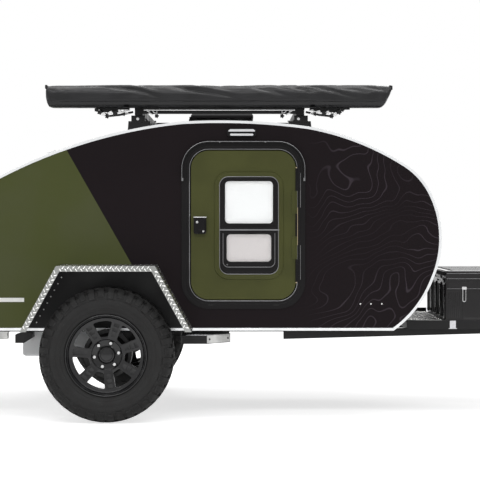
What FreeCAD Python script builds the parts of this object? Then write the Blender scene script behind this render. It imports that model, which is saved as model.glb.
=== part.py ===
import FreeCAD, Part
import math
import os

# Off-road teardrop trailer. Millimetres, X ahead, Y to the left, Z up from the ground.
# Everything is placed from the axle (X = 0) and the whole trailer is centred at the end.

V = FreeCAD.Vector
SIDES = (("right", -1), ("left", 1))

# body shell
body_length = 2993.0        # rear bottom corner to nose
body_height = 1150.0
body_half_width = 720.0     # to the outer faces of the side walls
body_rear_x = -1203.0       # rear bottom corner, from the axle
body_bottom = 487.0
wall = 32.0                 # side walls
roof_thick = 32.0
floor_thick = 30.0
floor_rise = 50.0           # underside of the floor panel above the walls' bottom edges
trim_thick = 2.5
trim_face = 12.0            # width of the trim's leg on the side wall
trim_top = 24.0             # width of the trim's leg over the roof

# galley hatch and its hinge
hatch_share = 0.287         # hinge line, as a share of the body's length
hatch_rise = 153.0          # bottom edge of the hatch above the body's bottom
hatch_gap = 6.0
hatch_knuckles = 7
hinge_radius = 6.0
hinge_lift = 9.0            # barrel centre above the skin
hinge_cover = 36.0          # length of the fixed rail ahead of the barrel
hinge_inset = 20.0          # ends of the barrel in from the side walls
knuckle_gap = 0.5

# galley and bed
bulkhead_setback = 40.0     # bulkhead ahead of the hinge line
board_thick = 18.0
worktop_rise = 413.0        # top of the worktop above the body's bottom
worktop_share = 0.7986      # depth of the worktop, as a share of the hatch's length
shelf_rise = 693.0
shelf_share = 0.3912
shelf_lip = 60.0
mattress_thick = 100.0
mattress_end_gap = 65.7     # between the mattress and the front bottom corner
soft_gap = 0.3

# doors
door_setback = 830.0        # door's middle behind the front bottom corner
door_sill = 118.5           # bottom of the flange above the body's bottom
door_width = 682.0          # over the fixed flange
door_height = 925.0
door_corner = 149.0
flange_width = 41.0
flange_thick = 8.0
jamb = 5.0
door_gap = 6.0
leaf_setback = 2.0          # leaf's face behind the flange's face
drip_width = 10.0
drip_depth = 24.0
drip_drop = 60.0            # how far the drip rail runs down past the corners
door_hinge_radius = 5.0
door_knuckles = 5
window_shift = 31.0         # window centre ahead of the door centre
window_drop = 2.0
window_side = 181.5         # door's edge to the window frame
window_height = 532.0
window_corner = 46.0
window_lip = 28.0
window_lip_height = 4.0
upper_pane = (55.0, 233.0, 22.0)       # narrower than the frame, height, top edge below its top
lower_pane = (73.0, 151.0, 315.0)
pane_corner = 22.0
glass_thick = 5.0
latch_width = 69.0
latch_height = 94.0
latch_depth = 18.0
latch_inset = 50.0
porch_light = (160.0, 40.0, 26.0)      # width, height, depth
porch_light_rise = 47.0     # its middle above the door's flange

# wheels and axle
tyre_radius = 366.5
tyre_width = 235.0
tyre_gap = 35.0             # between the side wall and the tyre
rim_radius = 203.0          # bead seat
rim_lip = 221.0
rim_face_radius = 186.0
spoke_window = ((96.0, 14.0), (176.0, 50.0))    # radius and half width at its inner and outer end
spoke_window_corner = 10.0
rim_inset = 14.0            # lips inside the tyre's side faces
rim_lip_width = 8.0
spoke_count = 7
spoke_phase = -6.6          # degrees from upright to the first spoke
hub_inset = 78.0            # wheel's bolting face inside the tyre's outer face
drum_radius = 132.0
spindle_radius = 20.0
spindle_clearance = 0.1
beam_x = 150.0
beam_size = 60.0
step_height = 46.0
step_drop = 59.0            # underside of the steps below the rails
front_bar_setback = 120.0   # foremost crossmember behind the front bottom corner
beam_overhang = 39.0        # beam's end outside the side rail
arm_thick = 26.0

# chassis
rail_width = 51.0
rail_height = 62.0
rail_inset = 69.0           # outer face of the side rails inside the side walls' outer faces
tongue_height = 42.0
tongue_setback = 606.0      # A-frame starts this far behind the front bottom corner
jack_gap = 70.0             # jack ahead of the tray
jack_tube_y = 63.45         # middles of the A-frame's tubes at the jack, from the centreline
apex_to_ball = 120.0
ball_radius = 25.6
coupler_nose = 55.0
chain_hole = 8.0
chain_spacing = 96.0
jack_radius = 29.0
jack_wall = 4.5
jack_height = 250.0         # top of the outer tube above the frame
jack_travel = 280.0
jack_foot_radius = 75.0
jack_foot_thick = 12.0
slide_clearance = 0.5

# tongue box and its tray
tray_gap = 100.0             # tray ahead of the front bottom corner
tray_length = 730.0
tray_half_width = 450.0
tray_rail = 49.0
box_setback = 222.0         # box behind the tray's rear end
box_length = 460.0
box_height = 278.0
box_wall = 5.0
box_lid_height = 46.0

# fenders
fender_half_top = 266.0
fender_half_foot = 463.0
fender_clearance = 118.0    # over the tyre
fender_foot_rise = 8.0
fender_sheet = 4.0
fender_lip = 30.0
fender_overhang = 10.0      # outside the tyre
backing_sheet = 3.0

# roof rack and awning
crossbar_height = 40.0
crossbar_width = 44.0
crossbar_rise = 77.0        # top of the bars above the roof
crossbar_overhang = 15.0
crossbar_setbacks = (576.0, -313.0)    # behind the door's middle
foot_length = 128.0
bag_reach = 504.0           # ahead of the front crossbar
bag_height = 123.0
bag_depth = 140.0
bag_seat = 2.0              # step in the crossbars' tops under the bag
bag_inset = 55.0            # overlap of the bag on the crossbars
bag_overhang = 1.0          # its rear end behind the hatch hinge

# roof vent
vent_setback = 127.0        # behind the door's middle
vent_opening = 336.0
vent_wall = 10.0
vent_flange = 32.0
vent_lid_rise = 79.0        # top of the lid above the roof
vent_lid_thick = 26.0
vent_lid_gap = 5.5

# water tank and stabilisers
tank_x = (-499.0, -114.0)
tank_depth = 207.0
tank_inset = 40.0           # inside the rails
stabiliser_x = -610.0
stabiliser_inset = 40.0
stabiliser_length = 365.0
stabiliser_width = 44.0
stabiliser_pin = 8.0

# derived places
axle_z = tyre_radius
front_share = 0.9265        # front bottom corner, as a share of the body's length
front_corner_x = body_rear_x + front_share * body_length
floor_bottom = body_bottom + floor_rise
floor_top = floor_bottom + floor_thick
roof_top = body_bottom + body_height
inner_half_width = body_half_width - wall
hatch_length = hatch_share * body_length
hatch_hinge_x = body_rear_x + hatch_length
worktop_depth = worktop_share * hatch_length
shelf_depth = shelf_share * hatch_length
hatch_bottom = body_bottom + hatch_rise
bulkhead_x = hatch_hinge_x + bulkhead_setback
worktop_z = body_bottom + worktop_rise
shelf_z = body_bottom + shelf_rise
door_x = front_corner_x - door_setback
door_z = body_bottom + door_sill + door_height / 2
window_width = door_width - 2 * window_side
leaf_face_y = body_half_width + flange_thick - leaf_setback
wheel_outer_y = body_half_width + tyre_gap + tyre_width
tyre_y = wheel_outer_y - tyre_width / 2
hub_face_y = wheel_outer_y - hub_inset
frame_top = floor_bottom
rail_bottom = frame_top - rail_height
rail_y = body_half_width - rail_inset - rail_width
beam_end_y = rail_y + rail_width + beam_overhang
tongue_top = rail_bottom
tongue_bottom = tongue_top - tongue_height
tray_top = tongue_top + tray_rail
tray_x = front_corner_x + tray_gap
box_x = tray_x + box_setback
box_lid_z = tray_top + box_height - box_lid_height
jack_x = tray_x + tray_length + jack_gap
tongue_start_x = front_corner_x - tongue_setback
tongue_start_y = rail_y + rail_width / 2
tongue_share = tongue_start_y / (tongue_start_y - jack_tube_y)
tongue_apex_x = tongue_start_x + (jack_x - tongue_start_x) * tongue_share
ball_x = tongue_apex_x + apex_to_ball
fender_top = axle_z + tyre_radius + fender_clearance
fender_foot = body_bottom + fender_foot_rise
fender_outer_y = wheel_outer_y + fender_overhang
crossbar_top = roof_top + crossbar_rise
crossbar_x = tuple(door_x - setback for setback in crossbar_setbacks)
rack_half_width = body_half_width + crossbar_overhang
bag_x = (hatch_hinge_x - bag_overhang, crossbar_x[1] + bag_reach)
vent_x = door_x - vent_setback
vent_lid_top = roof_top + vent_lid_rise
tank_bottom = frame_top - tank_depth
tank_half_width = rail_y - tank_inset
stabiliser_y = rail_y - stabiliser_inset
stabiliser_z = rail_bottom - 30

# outline of the body, from the front bottom corner over the roof to the rear bottom corner:
# share of the length ahead of the rear corner, share of the height;
# every second point is the middle of an arc
outline_shares = (
    (front_share, 0.0000), (0.9705, 0.1117), (0.9987, 0.2443),
    (1.0146, 0.4466), (0.9973, 0.6452),
    (0.9779, 0.7253), (0.9492, 0.7922),
    (0.8650, 0.9049), (0.7688, 0.9765),
    (0.6530, 1.0029), (0.5356, 1.0000),
    (0.3614, 0.9095), (0.1968, 0.7348),
    (0.1192, 0.5703), (0.0561, 0.3817),
    (0.0220, 0.1963), (0.0000, 0.0000),
)


def box(x0, x1, y0, y1, z0, z1):
    return Part.makeBox(x1 - x0, y1 - y0, z1 - z0, V(x0, y0, z0))


def rod(radius, start, end):
    span = end - start
    return Part.makeCylinder(radius, span.Length, start, span)


def fuse(shapes):
    shapes = list(shapes)
    return shapes[0].fuse(shapes[1:]).removeSplitter() if len(shapes) > 1 else shapes[0]


def on_side(shape, sign):
    """Shapes are drawn for the left side; the right one is its mirror image."""
    return shape if sign > 0 else shape.mirror(V(0, 0, 0), V(0, 1, 0))


def prism(points, y0, y1):
    """Polygon in the XZ plane, extruded along Y."""
    wire = Part.makePolygon([V(x, y0, z) for x, z in points] + [V(points[0][0], y0, points[0][1])])
    return Part.Face(wire).extrude(V(0, y1 - y0, 0))


def plan_prism(points, z0, z1):
    """Polygon in the XY plane, extruded upwards."""
    wire = Part.makePolygon([V(x, y, z0) for x, y in points] + [V(points[0][0], points[0][1], z0)])
    return Part.Face(wire).extrude(V(0, 0, z1 - z0))


def round_box(centre_x, centre_z, width, height, corner, y0, y1):
    """Upright plate with rounded corners, extruded along Y."""
    plate = box(centre_x - width / 2, centre_x + width / 2, y0, y1,
                centre_z - height / 2, centre_z + height / 2)
    upright = [e for e in plate.Edges if abs(e.tangentAt(e.FirstParameter).y) > 0.9]
    return plate.makeFillet(corner, upright)


def outline_wire():
    points = [V(body_rear_x + a * body_length, 0, body_bottom + u * body_height) for a, u in outline_shares]
    starts = range(0, len(points) - 2, 2)
    edges = [Part.Arc(points[i], points[i + 1], points[i + 2]).toShape() for i in starts]
    edges.append(Part.LineSegment(points[-1], points[0]).toShape())
    return Part.Wire(edges)


def outline_prism(offset, y0, y1):
    """The body outline grown by offset, extruded from y0 to y1."""
    wire = outline_wire()
    if offset:
        wire = wire.makeOffset2D(offset, 2, False, False, True)
    face = Part.Face(wire)
    face.translate(V(0, y0, 0))
    return face.extrude(V(0, y1 - y0, 0))


def roof_height(x):
    """Height of the outer skin over a place on the roof."""
    probe = Part.makeLine(V(x, 0, body_bottom + body_height / 2), V(x, 0, body_bottom + body_height * 2))
    hits = probe.section(outline_wire()).Vertexes
    return max(v.Point.z for v in hits)


def knuckles(start, end, radius, count, which):
    """Every second segment of a hinge barrel."""
    step = (end - start) / count
    unit = V(step)
    unit.normalize()
    gap = unit * (knuckle_gap / 2)
    return [rod(radius, start + step * i + gap, start + step * (i + 1) - gap) for i in range(which, count, 2)]


# ---------- body ----------

def shell_band():
    """Roof, nose and tail skin between the side walls."""
    outer = outline_prism(0, -inner_half_width, inner_half_width)
    inner = outline_prism(-roof_thick, -inner_half_width - 1, inner_half_width + 1)
    underside = inner.copy()
    underside.translate(V(0, 0, -roof_thick - 2))
    open_foot = box(body_rear_x + roof_thick, body_rear_x + body_length, -inner_half_width - 1,
                    inner_half_width + 1, body_bottom - 1, body_bottom + roof_thick + 1)
    return outer.cut([inner, open_foot.common(underside)])


def roof_shell(band):
    front = box(hatch_hinge_x, body_rear_x + body_length * 1.1, -body_half_width, body_half_width,
                body_bottom, body_bottom + body_height * 1.1)
    shell = band.common(front)
    half = vent_opening / 2 + vent_wall
    return shell.cut(box(vent_x - half, vent_x + half, -half, half,
                         body_bottom + body_height / 2, vent_lid_top))


def rear_panel(band):
    low = box(body_rear_x - wall, hatch_hinge_x, -body_half_width, body_half_width, body_bottom,
              hatch_bottom - hatch_gap)
    return band.common(low)


def hatch_panel(band):
    region = box(body_rear_x - wall, hatch_hinge_x - hatch_gap, -inner_half_width + hatch_gap,
                 inner_half_width - hatch_gap, hatch_bottom, body_bottom + body_height)
    skin = band.common(region)
    top = roof_height(hatch_hinge_x)
    barrels = knuckles(*hatch_axis(), hinge_radius, hatch_knuckles, 1)
    leaf_x = hatch_hinge_x - 60
    tongues = []
    for barrel in barrels:
        b = barrel.BoundBox
        points = [(hatch_hinge_x - 2, top + hinge_lift + hinge_radius), (leaf_x, roof_height(leaf_x) + 5),
                  (leaf_x, roof_height(leaf_x) - 4), (hatch_hinge_x - hatch_gap, top - 6),
                  (hatch_hinge_x - hatch_gap + 3, top + hinge_lift - 2)]
        tongues.append(prism(points, b.YMin, b.YMax))
    return fuse([skin] + barrels + tongues)


def hatch_axis():
    top = roof_height(hatch_hinge_x) + hinge_lift
    half = inner_half_width - hinge_inset
    return V(hatch_hinge_x, -half, top), V(hatch_hinge_x, half, top)


def hatch_hinge(body):
    top = roof_height(hatch_hinge_x)
    barrels = knuckles(*hatch_axis(), hinge_radius, hatch_knuckles, 0)
    plates = []
    for barrel in barrels:
        b = barrel.BoundBox
        points = [(hatch_hinge_x, top + hinge_lift + hinge_radius), (hatch_hinge_x + hinge_cover, top + 26),
                  (hatch_hinge_x + hinge_cover, top), (hatch_hinge_x, top - 2)]
        plates.append(prism(points, b.YMin, b.YMax))
    rail = prism([(hatch_hinge_x + 8, top + 6), (hatch_hinge_x + 8, top + 16),
                  (hatch_hinge_x + hinge_cover, top + 28), (hatch_hinge_x + hinge_cover, top)],
                 hinge_inset - inner_half_width, inner_half_width - hinge_inset)
    return fuse(barrels + plates + [rail]).cut(body)


def side_wall():
    slab = outline_prism(0, inner_half_width, body_half_width)
    hole = round_box(door_x, door_z, door_width - 2 * flange_width, door_height - 2 * flange_width,
                     door_corner - flange_width, inner_half_width - 1, body_half_width + 1)
    return slab.cut(hole)


def edge_trims():
    trims = []
    for name, sign in SIDES:
        outer = outline_prism(trim_thick, body_half_width - trim_top, body_half_width + trim_thick)
        body = outline_prism(0, body_half_width - trim_top - 1, body_half_width)
        face = outline_prism(-trim_face, body_half_width - 1, body_half_width + trim_thick + 1)
        below = box(body_rear_x + trim_face, body_rear_x + body_length * 0.92, 0, body_half_width - 1,
                    body_bottom - 10, body_bottom)
        slot = box(body_rear_x - 50, hatch_hinge_x + hinge_cover, 0, inner_half_width,
                   body_bottom - 10, vent_lid_top)
        trims.append(on_side(outer.cut([body, face, below, slot]), sign))
    return Part.makeCompound(trims)


def floor_panel():
    inside = outline_prism(-roof_thick, -inner_half_width, inner_half_width)
    return inside.common(box(body_rear_x, body_rear_x + body_length, -inner_half_width, inner_half_width,
                             floor_bottom, floor_top))


def galley_bulkhead():
    inner = outline_prism(-roof_thick, -inner_half_width, inner_half_width)
    return inner.common(box(bulkhead_x, bulkhead_x + board_thick, -inner_half_width, inner_half_width,
                            floor_top, vent_lid_top))


def galley_cabinet():
    """Worktop on dividers with open lockers below, and a shelf above, all carried by the bulkhead."""
    board = board_thick
    half = inner_half_width
    worktop_front = bulkhead_x - worktop_depth
    shelf_front = bulkhead_x - shelf_depth
    boards = [box(worktop_front, bulkhead_x, -half, half, worktop_z - board, worktop_z),
              box(shelf_front, bulkhead_x, -half, half, shelf_z, shelf_z + board),
              box(shelf_front, shelf_front + board, -half, half, shelf_z + board, shelf_z + shelf_lip)]
    for middle in (-half + board / 2, -half / 3, half / 3, half - board / 2):
        boards.append(box(worktop_front + 20, bulkhead_x, middle - board / 2, middle + board / 2,
                          floor_top, worktop_z - board))
    return fuse(boards)


def mattress():
    x0 = bulkhead_x + board_thick + soft_gap
    return box(x0, front_corner_x - mattress_end_gap, -inner_half_width + soft_gap, inner_half_width - soft_gap,
               floor_top + soft_gap, floor_top + mattress_thick)


# ---------- doors ----------

def door_frame():
    outer_y = body_half_width + flange_thick
    flange = round_box(door_x, door_z, door_width, door_height, door_corner, body_half_width, outer_y)
    sleeve = round_box(door_x, door_z, door_width - 2 * flange_width, door_height - 2 * flange_width,
                       door_corner - flange_width, inner_half_width, outer_y)
    rim_width = flange_width + jamb
    hole = round_box(door_x, door_z, door_width - 2 * rim_width, door_height - 2 * rim_width,
                     door_corner - rim_width, inner_half_width - 1, outer_y + 1)
    drip = round_box(door_x, door_z, door_width, door_height, door_corner, body_half_width,
                     body_half_width + drip_depth)
    drip = drip.cut(round_box(door_x, door_z, door_width - 2 * drip_width, door_height - 2 * drip_width,
                              door_corner - drip_width, body_half_width - 1, body_half_width + drip_depth + 1))
    corner_z = door_z + door_height / 2 - door_corner - drip_drop
    drip = drip.common(box(door_x - door_width, door_x + door_width, 0, body_half_width + drip_depth, corner_z,
                           door_z + door_height))
    start, end = door_axis()
    barrels = knuckles(start, end, door_hinge_radius, door_knuckles, 0)
    pads = [box(start.x, start.x + 22, outer_y - 1, start.y, b.BoundBox.ZMin, b.BoundBox.ZMax) for b in barrels]
    return fuse([flange, sleeve, drip] + barrels + pads).cut(hole)


def leaf_size():
    cut = 2 * (flange_width + jamb + door_gap)
    return door_width - cut, door_height - cut, door_corner - cut / 2


def door_axis():
    x = door_x + leaf_size()[0] / 2 + door_gap / 2
    y = body_half_width + flange_thick + door_hinge_radius
    half = door_height / 2 - door_corner
    return V(x, y, door_z - half), V(x, y, door_z + half)


def window_centre():
    return door_x + window_shift, door_z - window_drop


def door_panel():
    width, height, corner = leaf_size()
    outer_y = leaf_face_y
    leaf = round_box(door_x, door_z, width, height, corner, inner_half_width, outer_y)
    wx, wz = window_centre()
    lip = round_box(wx, wz, window_width + 2 * window_lip, window_height + 2 * window_lip,
                    window_corner + window_lip, outer_y - 1, outer_y + window_lip_height)
    hole = round_box(wx, wz, window_width, window_height, window_corner, inner_half_width - 1,
                     outer_y + window_lip_height + 1)
    start, end = door_axis()
    barrels = knuckles(start, end, door_hinge_radius, door_knuckles, 1)
    pads = [box(start.x - 24, start.x, outer_y - 1, start.y, b.BoundBox.ZMin, b.BoundBox.ZMax) for b in barrels]
    return fuse([leaf, lip] + barrels + pads).cut(hole)


def panes(y0, y1):
    wx, wz = window_centre()
    top = wz + window_height / 2
    return [round_box(wx, top - drop - height / 2, window_width - less, height, pane_corner, y0, y1)
            for less, height, drop in (upper_pane, lower_pane)]


def door_window():
    outer_y = leaf_face_y
    wx, wz = window_centre()
    block = round_box(wx, wz, window_width, window_height, window_corner, inner_half_width,
                      outer_y + window_lip_height + 2)
    return block.cut(panes(inner_half_width - 1, outer_y + 10))


def door_glass():
    middle = body_half_width - 4
    return Part.makeCompound(panes(middle, middle + glass_thick))


def door_latch():
    outer_y = leaf_face_y
    x = door_x - leaf_size()[0] / 2 + latch_inset
    return round_box(x, door_z - 2, latch_width, latch_height, 12, outer_y, outer_y + latch_depth)


def porch_lights():
    width, height, depth = porch_light
    z = door_z + door_height / 2 + porch_light_rise
    lamp = round_box(door_x - 9, z, width, height, 12, body_half_width, body_half_width + depth)
    return Part.makeCompound([on_side(lamp, sign) for name, sign in SIDES])


# ---------- chassis ----------

def tongue_line(x):
    """Distance from the centreline of the A-frame tubes' middle at x."""
    return (tongue_apex_x - x) / (tongue_apex_x - tongue_start_x) * tongue_start_y


def chassis_rails():
    rear = body_rear_x + 60
    front = front_corner_x - front_bar_setback + rail_width
    rail = box(rear, front, rail_y, rail_y + rail_width, rail_bottom, frame_top)
    return Part.makeCompound([on_side(rail, sign) for name, sign in SIDES])


def tongue_tubes():
    angle = math.atan2(tongue_start_y, tongue_apex_x - tongue_start_x)
    half = rail_width / 2 / math.cos(angle)
    tubes = []
    for name, sign in SIDES:
        start = tongue_start_x
        end = jack_x + jack_radius + 20
        points = [(start, tongue_line(start) - half), (start, tongue_line(start) + half),
                  (end, tongue_line(end) + half), (end, tongue_line(end) - half)]
        tubes.append(on_side(plan_prism(points, tongue_bottom, tongue_top), sign))
    return Part.makeCompound(tubes)


def crossmembers():
    bars = []
    for x in (body_rear_x + 60, tank_x[0] - 70, tank_x[1] + 10, tongue_start_x - 420, tongue_start_x + 60,
              front_corner_x - front_bar_setback):
        bars.append(box(x, x + rail_width, -rail_y, rail_y, rail_bottom, frame_top))
    return Part.makeCompound(bars)


def coupler():
    """Pressed coupler on the end of the A-frame, with the ball socket open below."""
    back = jack_x + jack_radius + 20
    half = tongue_line(back) + rail_width / 2 + 4
    plate_thick = 6.0
    socket = ball_radius + 9
    top = plan_prism([(jack_x - 60, half + 22), (back + 60, half - 10), (ball_x, socket), (ball_x, -socket),
                      (back + 60, -half + 10), (jack_x - 60, -half - 22)], tongue_top, tongue_top + plate_thick)
    web = plan_prism([(back, half - 6), (ball_x, socket), (ball_x, -socket), (back, -half + 6)],
                     tongue_bottom, tongue_top)
    hood = rod(socket, V(ball_x, 0, tongue_bottom), V(ball_x, 0, tongue_top + plate_thick + 14))
    nose = box(ball_x, ball_x + coupler_nose, -18, 18, tongue_bottom + 6, tongue_top + plate_thick)
    lever = box(ball_x - 130, ball_x - 20, -10, 10, tongue_top + plate_thick, tongue_top + plate_thick + 34)
    bore = rod(ball_radius, V(ball_x, 0, tongue_bottom - 1), V(ball_x, 0, tongue_bottom + 40))
    jack_hole = rod(jack_radius, V(jack_x, 0, tongue_bottom - 50), V(jack_x, 0, tongue_top + 60))
    chain_plate = box(back + 10, back + 22, -70, 70, tongue_bottom - 34, tongue_bottom)
    holes = [rod(chain_hole, V(back, y, tongue_bottom - 17), V(back + 40, y, tongue_bottom - 17))
             for y in (-chain_spacing / 2, chain_spacing / 2)]
    return fuse([top, web, hood, nose, lever, chain_plate]).cut([bore, jack_hole] + holes)


def jack_housing():
    bottom = jack_travel + jack_foot_thick + 10
    top = tongue_top + jack_height
    tube = rod(jack_radius, V(jack_x, 0, bottom), V(jack_x, 0, top))
    bore = rod(jack_radius - jack_wall, V(jack_x, 0, bottom - 1), V(jack_x, 0, top - 20))
    head = box(jack_x - 34, jack_x + 34, -34, 34, top, top + 52)
    crank = rod(9, V(jack_x, 30, top + 26), V(jack_x, 120, top + 26))
    arm = rod(8, V(jack_x, 112, top + 26), V(jack_x, 112, top + 170))
    grip = rod(13, V(jack_x, 100, top + 170), V(jack_x, 200, top + 170))
    collar = rod(jack_radius + 14, V(jack_x, 0, tongue_top + 6), V(jack_x, 0, tongue_top + 18))
    return fuse([tube, head, crank, arm, grip, collar]).cut(bore)


def jack_leg():
    reach = tongue_top + jack_height - 20 - jack_travel - 10
    tube = rod(jack_radius - jack_wall - slide_clearance, V(jack_x, 0, jack_foot_thick - 1),
               V(jack_x, 0, reach))
    foot = rod(jack_foot_radius, V(jack_x, 0, 0), V(jack_x, 0, jack_foot_thick))
    return fuse([tube, foot])


def box_tray():
    outer = box(tray_x, tray_x + tray_length, -tray_half_width, tray_half_width, tongue_top, tray_top)
    inner = box(tray_x + tray_rail, tray_x + tray_length - tray_rail, -tray_half_width + tray_rail,
                tray_half_width - tray_rail, tongue_top - 1, tray_top - 4)
    return outer.cut(inner)


def tongue_box_body():
    top = box_lid_z
    hollow_top = top + 1
    shell = box(box_x, box_x + box_length, -tray_half_width, tray_half_width, tray_top, top)
    hollow = box(box_x + box_wall, box_x + box_length - box_wall, -tray_half_width + box_wall,
                 tray_half_width - box_wall, tray_top + box_wall, hollow_top)
    start, end = box_axis()
    barrels = knuckles(start, end, door_hinge_radius, door_knuckles, 0)
    pads = [box(start.x, box_x + 1, b.BoundBox.YMin, b.BoundBox.YMax, start.z - 18, start.z) for b in barrels]
    return fuse([shell.cut(hollow)] + barrels + pads)


def box_axis():
    x = box_x - door_hinge_radius - 1
    z = box_lid_z
    reach = tray_half_width - 60
    return V(x, -reach, z), V(x, reach, z)


def tongue_box_lid():
    z = box_lid_z + soft_gap
    shell = box(box_x, box_x + box_length, -tray_half_width, tray_half_width, z, tray_top + box_height)
    hollow = box(box_x + box_wall, box_x + box_length - box_wall, -tray_half_width + box_wall,
                 tray_half_width - box_wall, z - 1, tray_top + box_height - box_wall)
    start, end = box_axis()
    barrels = knuckles(start, end, door_hinge_radius, door_knuckles, 1)
    pads = [box(start.x, box_x + 1, b.BoundBox.YMin, b.BoundBox.YMax, z, start.z + 18) for b in barrels]
    return fuse([shell.cut(hollow)] + barrels + pads)


def outriggers():
    """Tapered steps ahead of the wheels, and short arms under the fenders' rear feet."""
    parts = []
    low = rail_bottom - step_drop
    top = low + step_height
    inner, edge, outer = rail_y, rail_y + rail_width, body_half_width + 70
    step_x = fender_half_foot - 70
    arm_x = -fender_half_foot - 58
    step_plan = [(step_x, inner), (step_x + 10, outer), (step_x + 145, outer), (step_x + 275, edge),
                 (step_x + 275, inner)]
    arm_side = [(arm_x, low), (arm_x + 48, low), (arm_x + 93, low + 28), (arm_x + 93, rail_bottom),
                (arm_x + 45, rail_bottom), (arm_x, top)]
    for name, sign in SIDES:
        riser = box(step_x + 20, step_x + 200, inner, edge, top - 1, rail_bottom)
        parts.append(on_side(plan_prism(step_plan, low, top).fuse(riser), sign))
        parts.append(on_side(prism(arm_side, inner, body_half_width), sign))
    return Part.makeCompound(parts)


# ---------- running gear ----------

def axle_beam():
    z = rail_bottom - beam_size
    return box(beam_x - beam_size / 2, beam_x + beam_size / 2, -beam_end_y, beam_end_y, z, rail_bottom)


def torsion_arms():
    arms = []
    z = rail_bottom - beam_size / 2
    for name, sign in SIDES:
        y0, y1 = beam_end_y, beam_end_y + arm_thick
        front = rod(28, V(beam_x, y0, z), V(beam_x, y1, z))
        back = rod(34, V(0, y0, axle_z), V(0, y1, axle_z))
        bar = prism([(beam_x, z + 24), (0, axle_z + 28), (0, axle_z - 28), (beam_x, z - 24)], y0, y1)
        spindle = rod(spindle_radius, V(0, y1 - 1, axle_z), V(0, hub_face_y - 30, axle_z))
        arms.append(on_side(fuse([front, back, bar, spindle]), sign))
    return Part.makeCompound(arms)


def hub():
    y = hub_face_y
    drum = rod(drum_radius, V(0, y - 130, axle_z), V(0, y - 66, axle_z))
    cone = Part.makeCone(drum_radius - 20, 84, 46, V(0, y - 66, axle_z), V(0, 1, 0))
    flange = rod(84, V(0, y - 20, axle_z), V(0, y, axle_z))
    bore = rod(spindle_radius + spindle_clearance, V(0, y - 131, axle_z), V(0, y - 29, axle_z))
    return fuse([drum, cone, flange]).cut(bore)


def revolved(points):
    """Closed profile of (radius, y) points turned about the wheel's axis."""
    closed = points + points[:1]
    wire = Part.makePolygon([V(0, y, axle_z + r) for r, y in closed])
    return Part.Face(wire).revolve(V(0, 0, axle_z), V(0, 1, 0), 360)


def rim():
    y0, y1 = wheel_outer_y - tyre_width + rim_inset, wheel_outer_y - rim_inset
    seat, sheet = rim_radius - 0.1, 9.0
    lip = rim_lip_width
    barrel = revolved([(rim_lip, y0), (rim_lip, y0 + lip), (seat, y0 + lip + 6), (seat, y1 - lip - 6),
                       (rim_lip, y1 - lip), (rim_lip, y1), (rim_lip - 8, y1), (rim_face_radius, y1 - 26),
                       (rim_face_radius, y1 - 60), (seat - sheet, y1 - 66), (seat - sheet, y0)])
    y = hub_face_y
    disc = rod(rim_face_radius + 2, V(0, y1 - 56, axle_z), V(0, y1 - 30, axle_z))
    centre = rod(86, V(0, y, axle_z), V(0, y1 - 36, axle_z))
    window = window_cutter(y - 40, y1 + 10)
    windows = []
    for k in range(spoke_count):
        cutter = window.copy()
        cutter.rotate(V(0, 0, axle_z), V(0, 1, 0), 360 / spoke_count * (k + 0.5) + spoke_phase)
        windows.append(cutter)
    return fuse([barrel, disc, centre]).cut(windows)


def window_cutter(y0, y1):
    """Rounded triangular window between two spokes."""
    (inner_radius, inner_half), (outer_radius, outer_half) = spoke_window
    points = [(-inner_half, axle_z + inner_radius), (-outer_half, axle_z + outer_radius),
              (outer_half, axle_z + outer_radius), (inner_half, axle_z + inner_radius)]
    solid = prism(points, y0, y1)
    return solid.makeFillet(spoke_window_corner, [e for e in solid.Edges if abs(e.tangentAt(e.FirstParameter).y) > 0.9])


def tyre():
    y0, y1 = wheel_outer_y - tyre_width, wheel_outer_y
    r = tyre_radius
    bead = rim_lip + 0.5
    seat = rim_radius
    edges = []
    crown = [V(0, y0 + 22, axle_z + r - 9), V(0, tyre_y, axle_z + r), V(0, y1 - 22, axle_z + r - 9)]
    outer = [crown[2], V(0, y1, axle_z + (r + bead) / 2), V(0, y1 - 16, axle_z + bead)]
    inner = [V(0, y0 + 16, axle_z + bead), V(0, y0, axle_z + (r + bead) / 2), crown[0]]
    edges.append(Part.Arc(*crown).toShape())
    edges.append(Part.Arc(*outer).toShape())
    heel = rim_inset + rim_lip_width
    low = [outer[2], V(0, y1 - heel, axle_z + bead), V(0, y1 - heel - 7, axle_z + seat),
           V(0, y0 + heel + 7, axle_z + seat), V(0, y0 + heel, axle_z + bead), inner[0]]
    edges += [Part.LineSegment(low[i], low[i + 1]).toShape() for i in range(len(low) - 1)]
    edges.append(Part.Arc(*inner).toShape())
    return Part.Face(Part.Wire(edges)).revolve(V(0, 0, axle_z), V(0, 1, 0), 360)


def fender_points(inset):
    """Trapezoid over the wheel; inset moves the line in."""
    slope = (fender_top - fender_foot) / (fender_half_foot - fender_half_top)
    run = inset * math.sqrt(1 + slope * slope) / slope
    top = fender_top - inset
    half_top = fender_half_top + inset / slope - run
    half_foot = fender_half_foot - run
    return [(-half_foot, fender_foot), (-half_top, top), (half_top, top), (half_foot, fender_foot)]


def fender():
    y0, y1 = body_half_width + backing_sheet, fender_outer_y
    roof = prism(fender_points(0), y0, y1).cut(prism_open(fender_points(fender_sheet), y0 - 1, y1 + 1))
    opening = prism_open(fender_points(fender_lip), y1 - 10, y1 + 1)
    lip = prism(fender_points(0), y1 - fender_sheet, y1).cut(opening)
    return fuse([roof, lip])


def prism_open(points, y0, y1):
    """As prism, but running out through the open foot."""
    low = [(points[0][0], points[0][1] - 1)] + points + [(points[-1][0], points[-1][1] - 1)]
    return prism(low, y0, y1)


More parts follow.
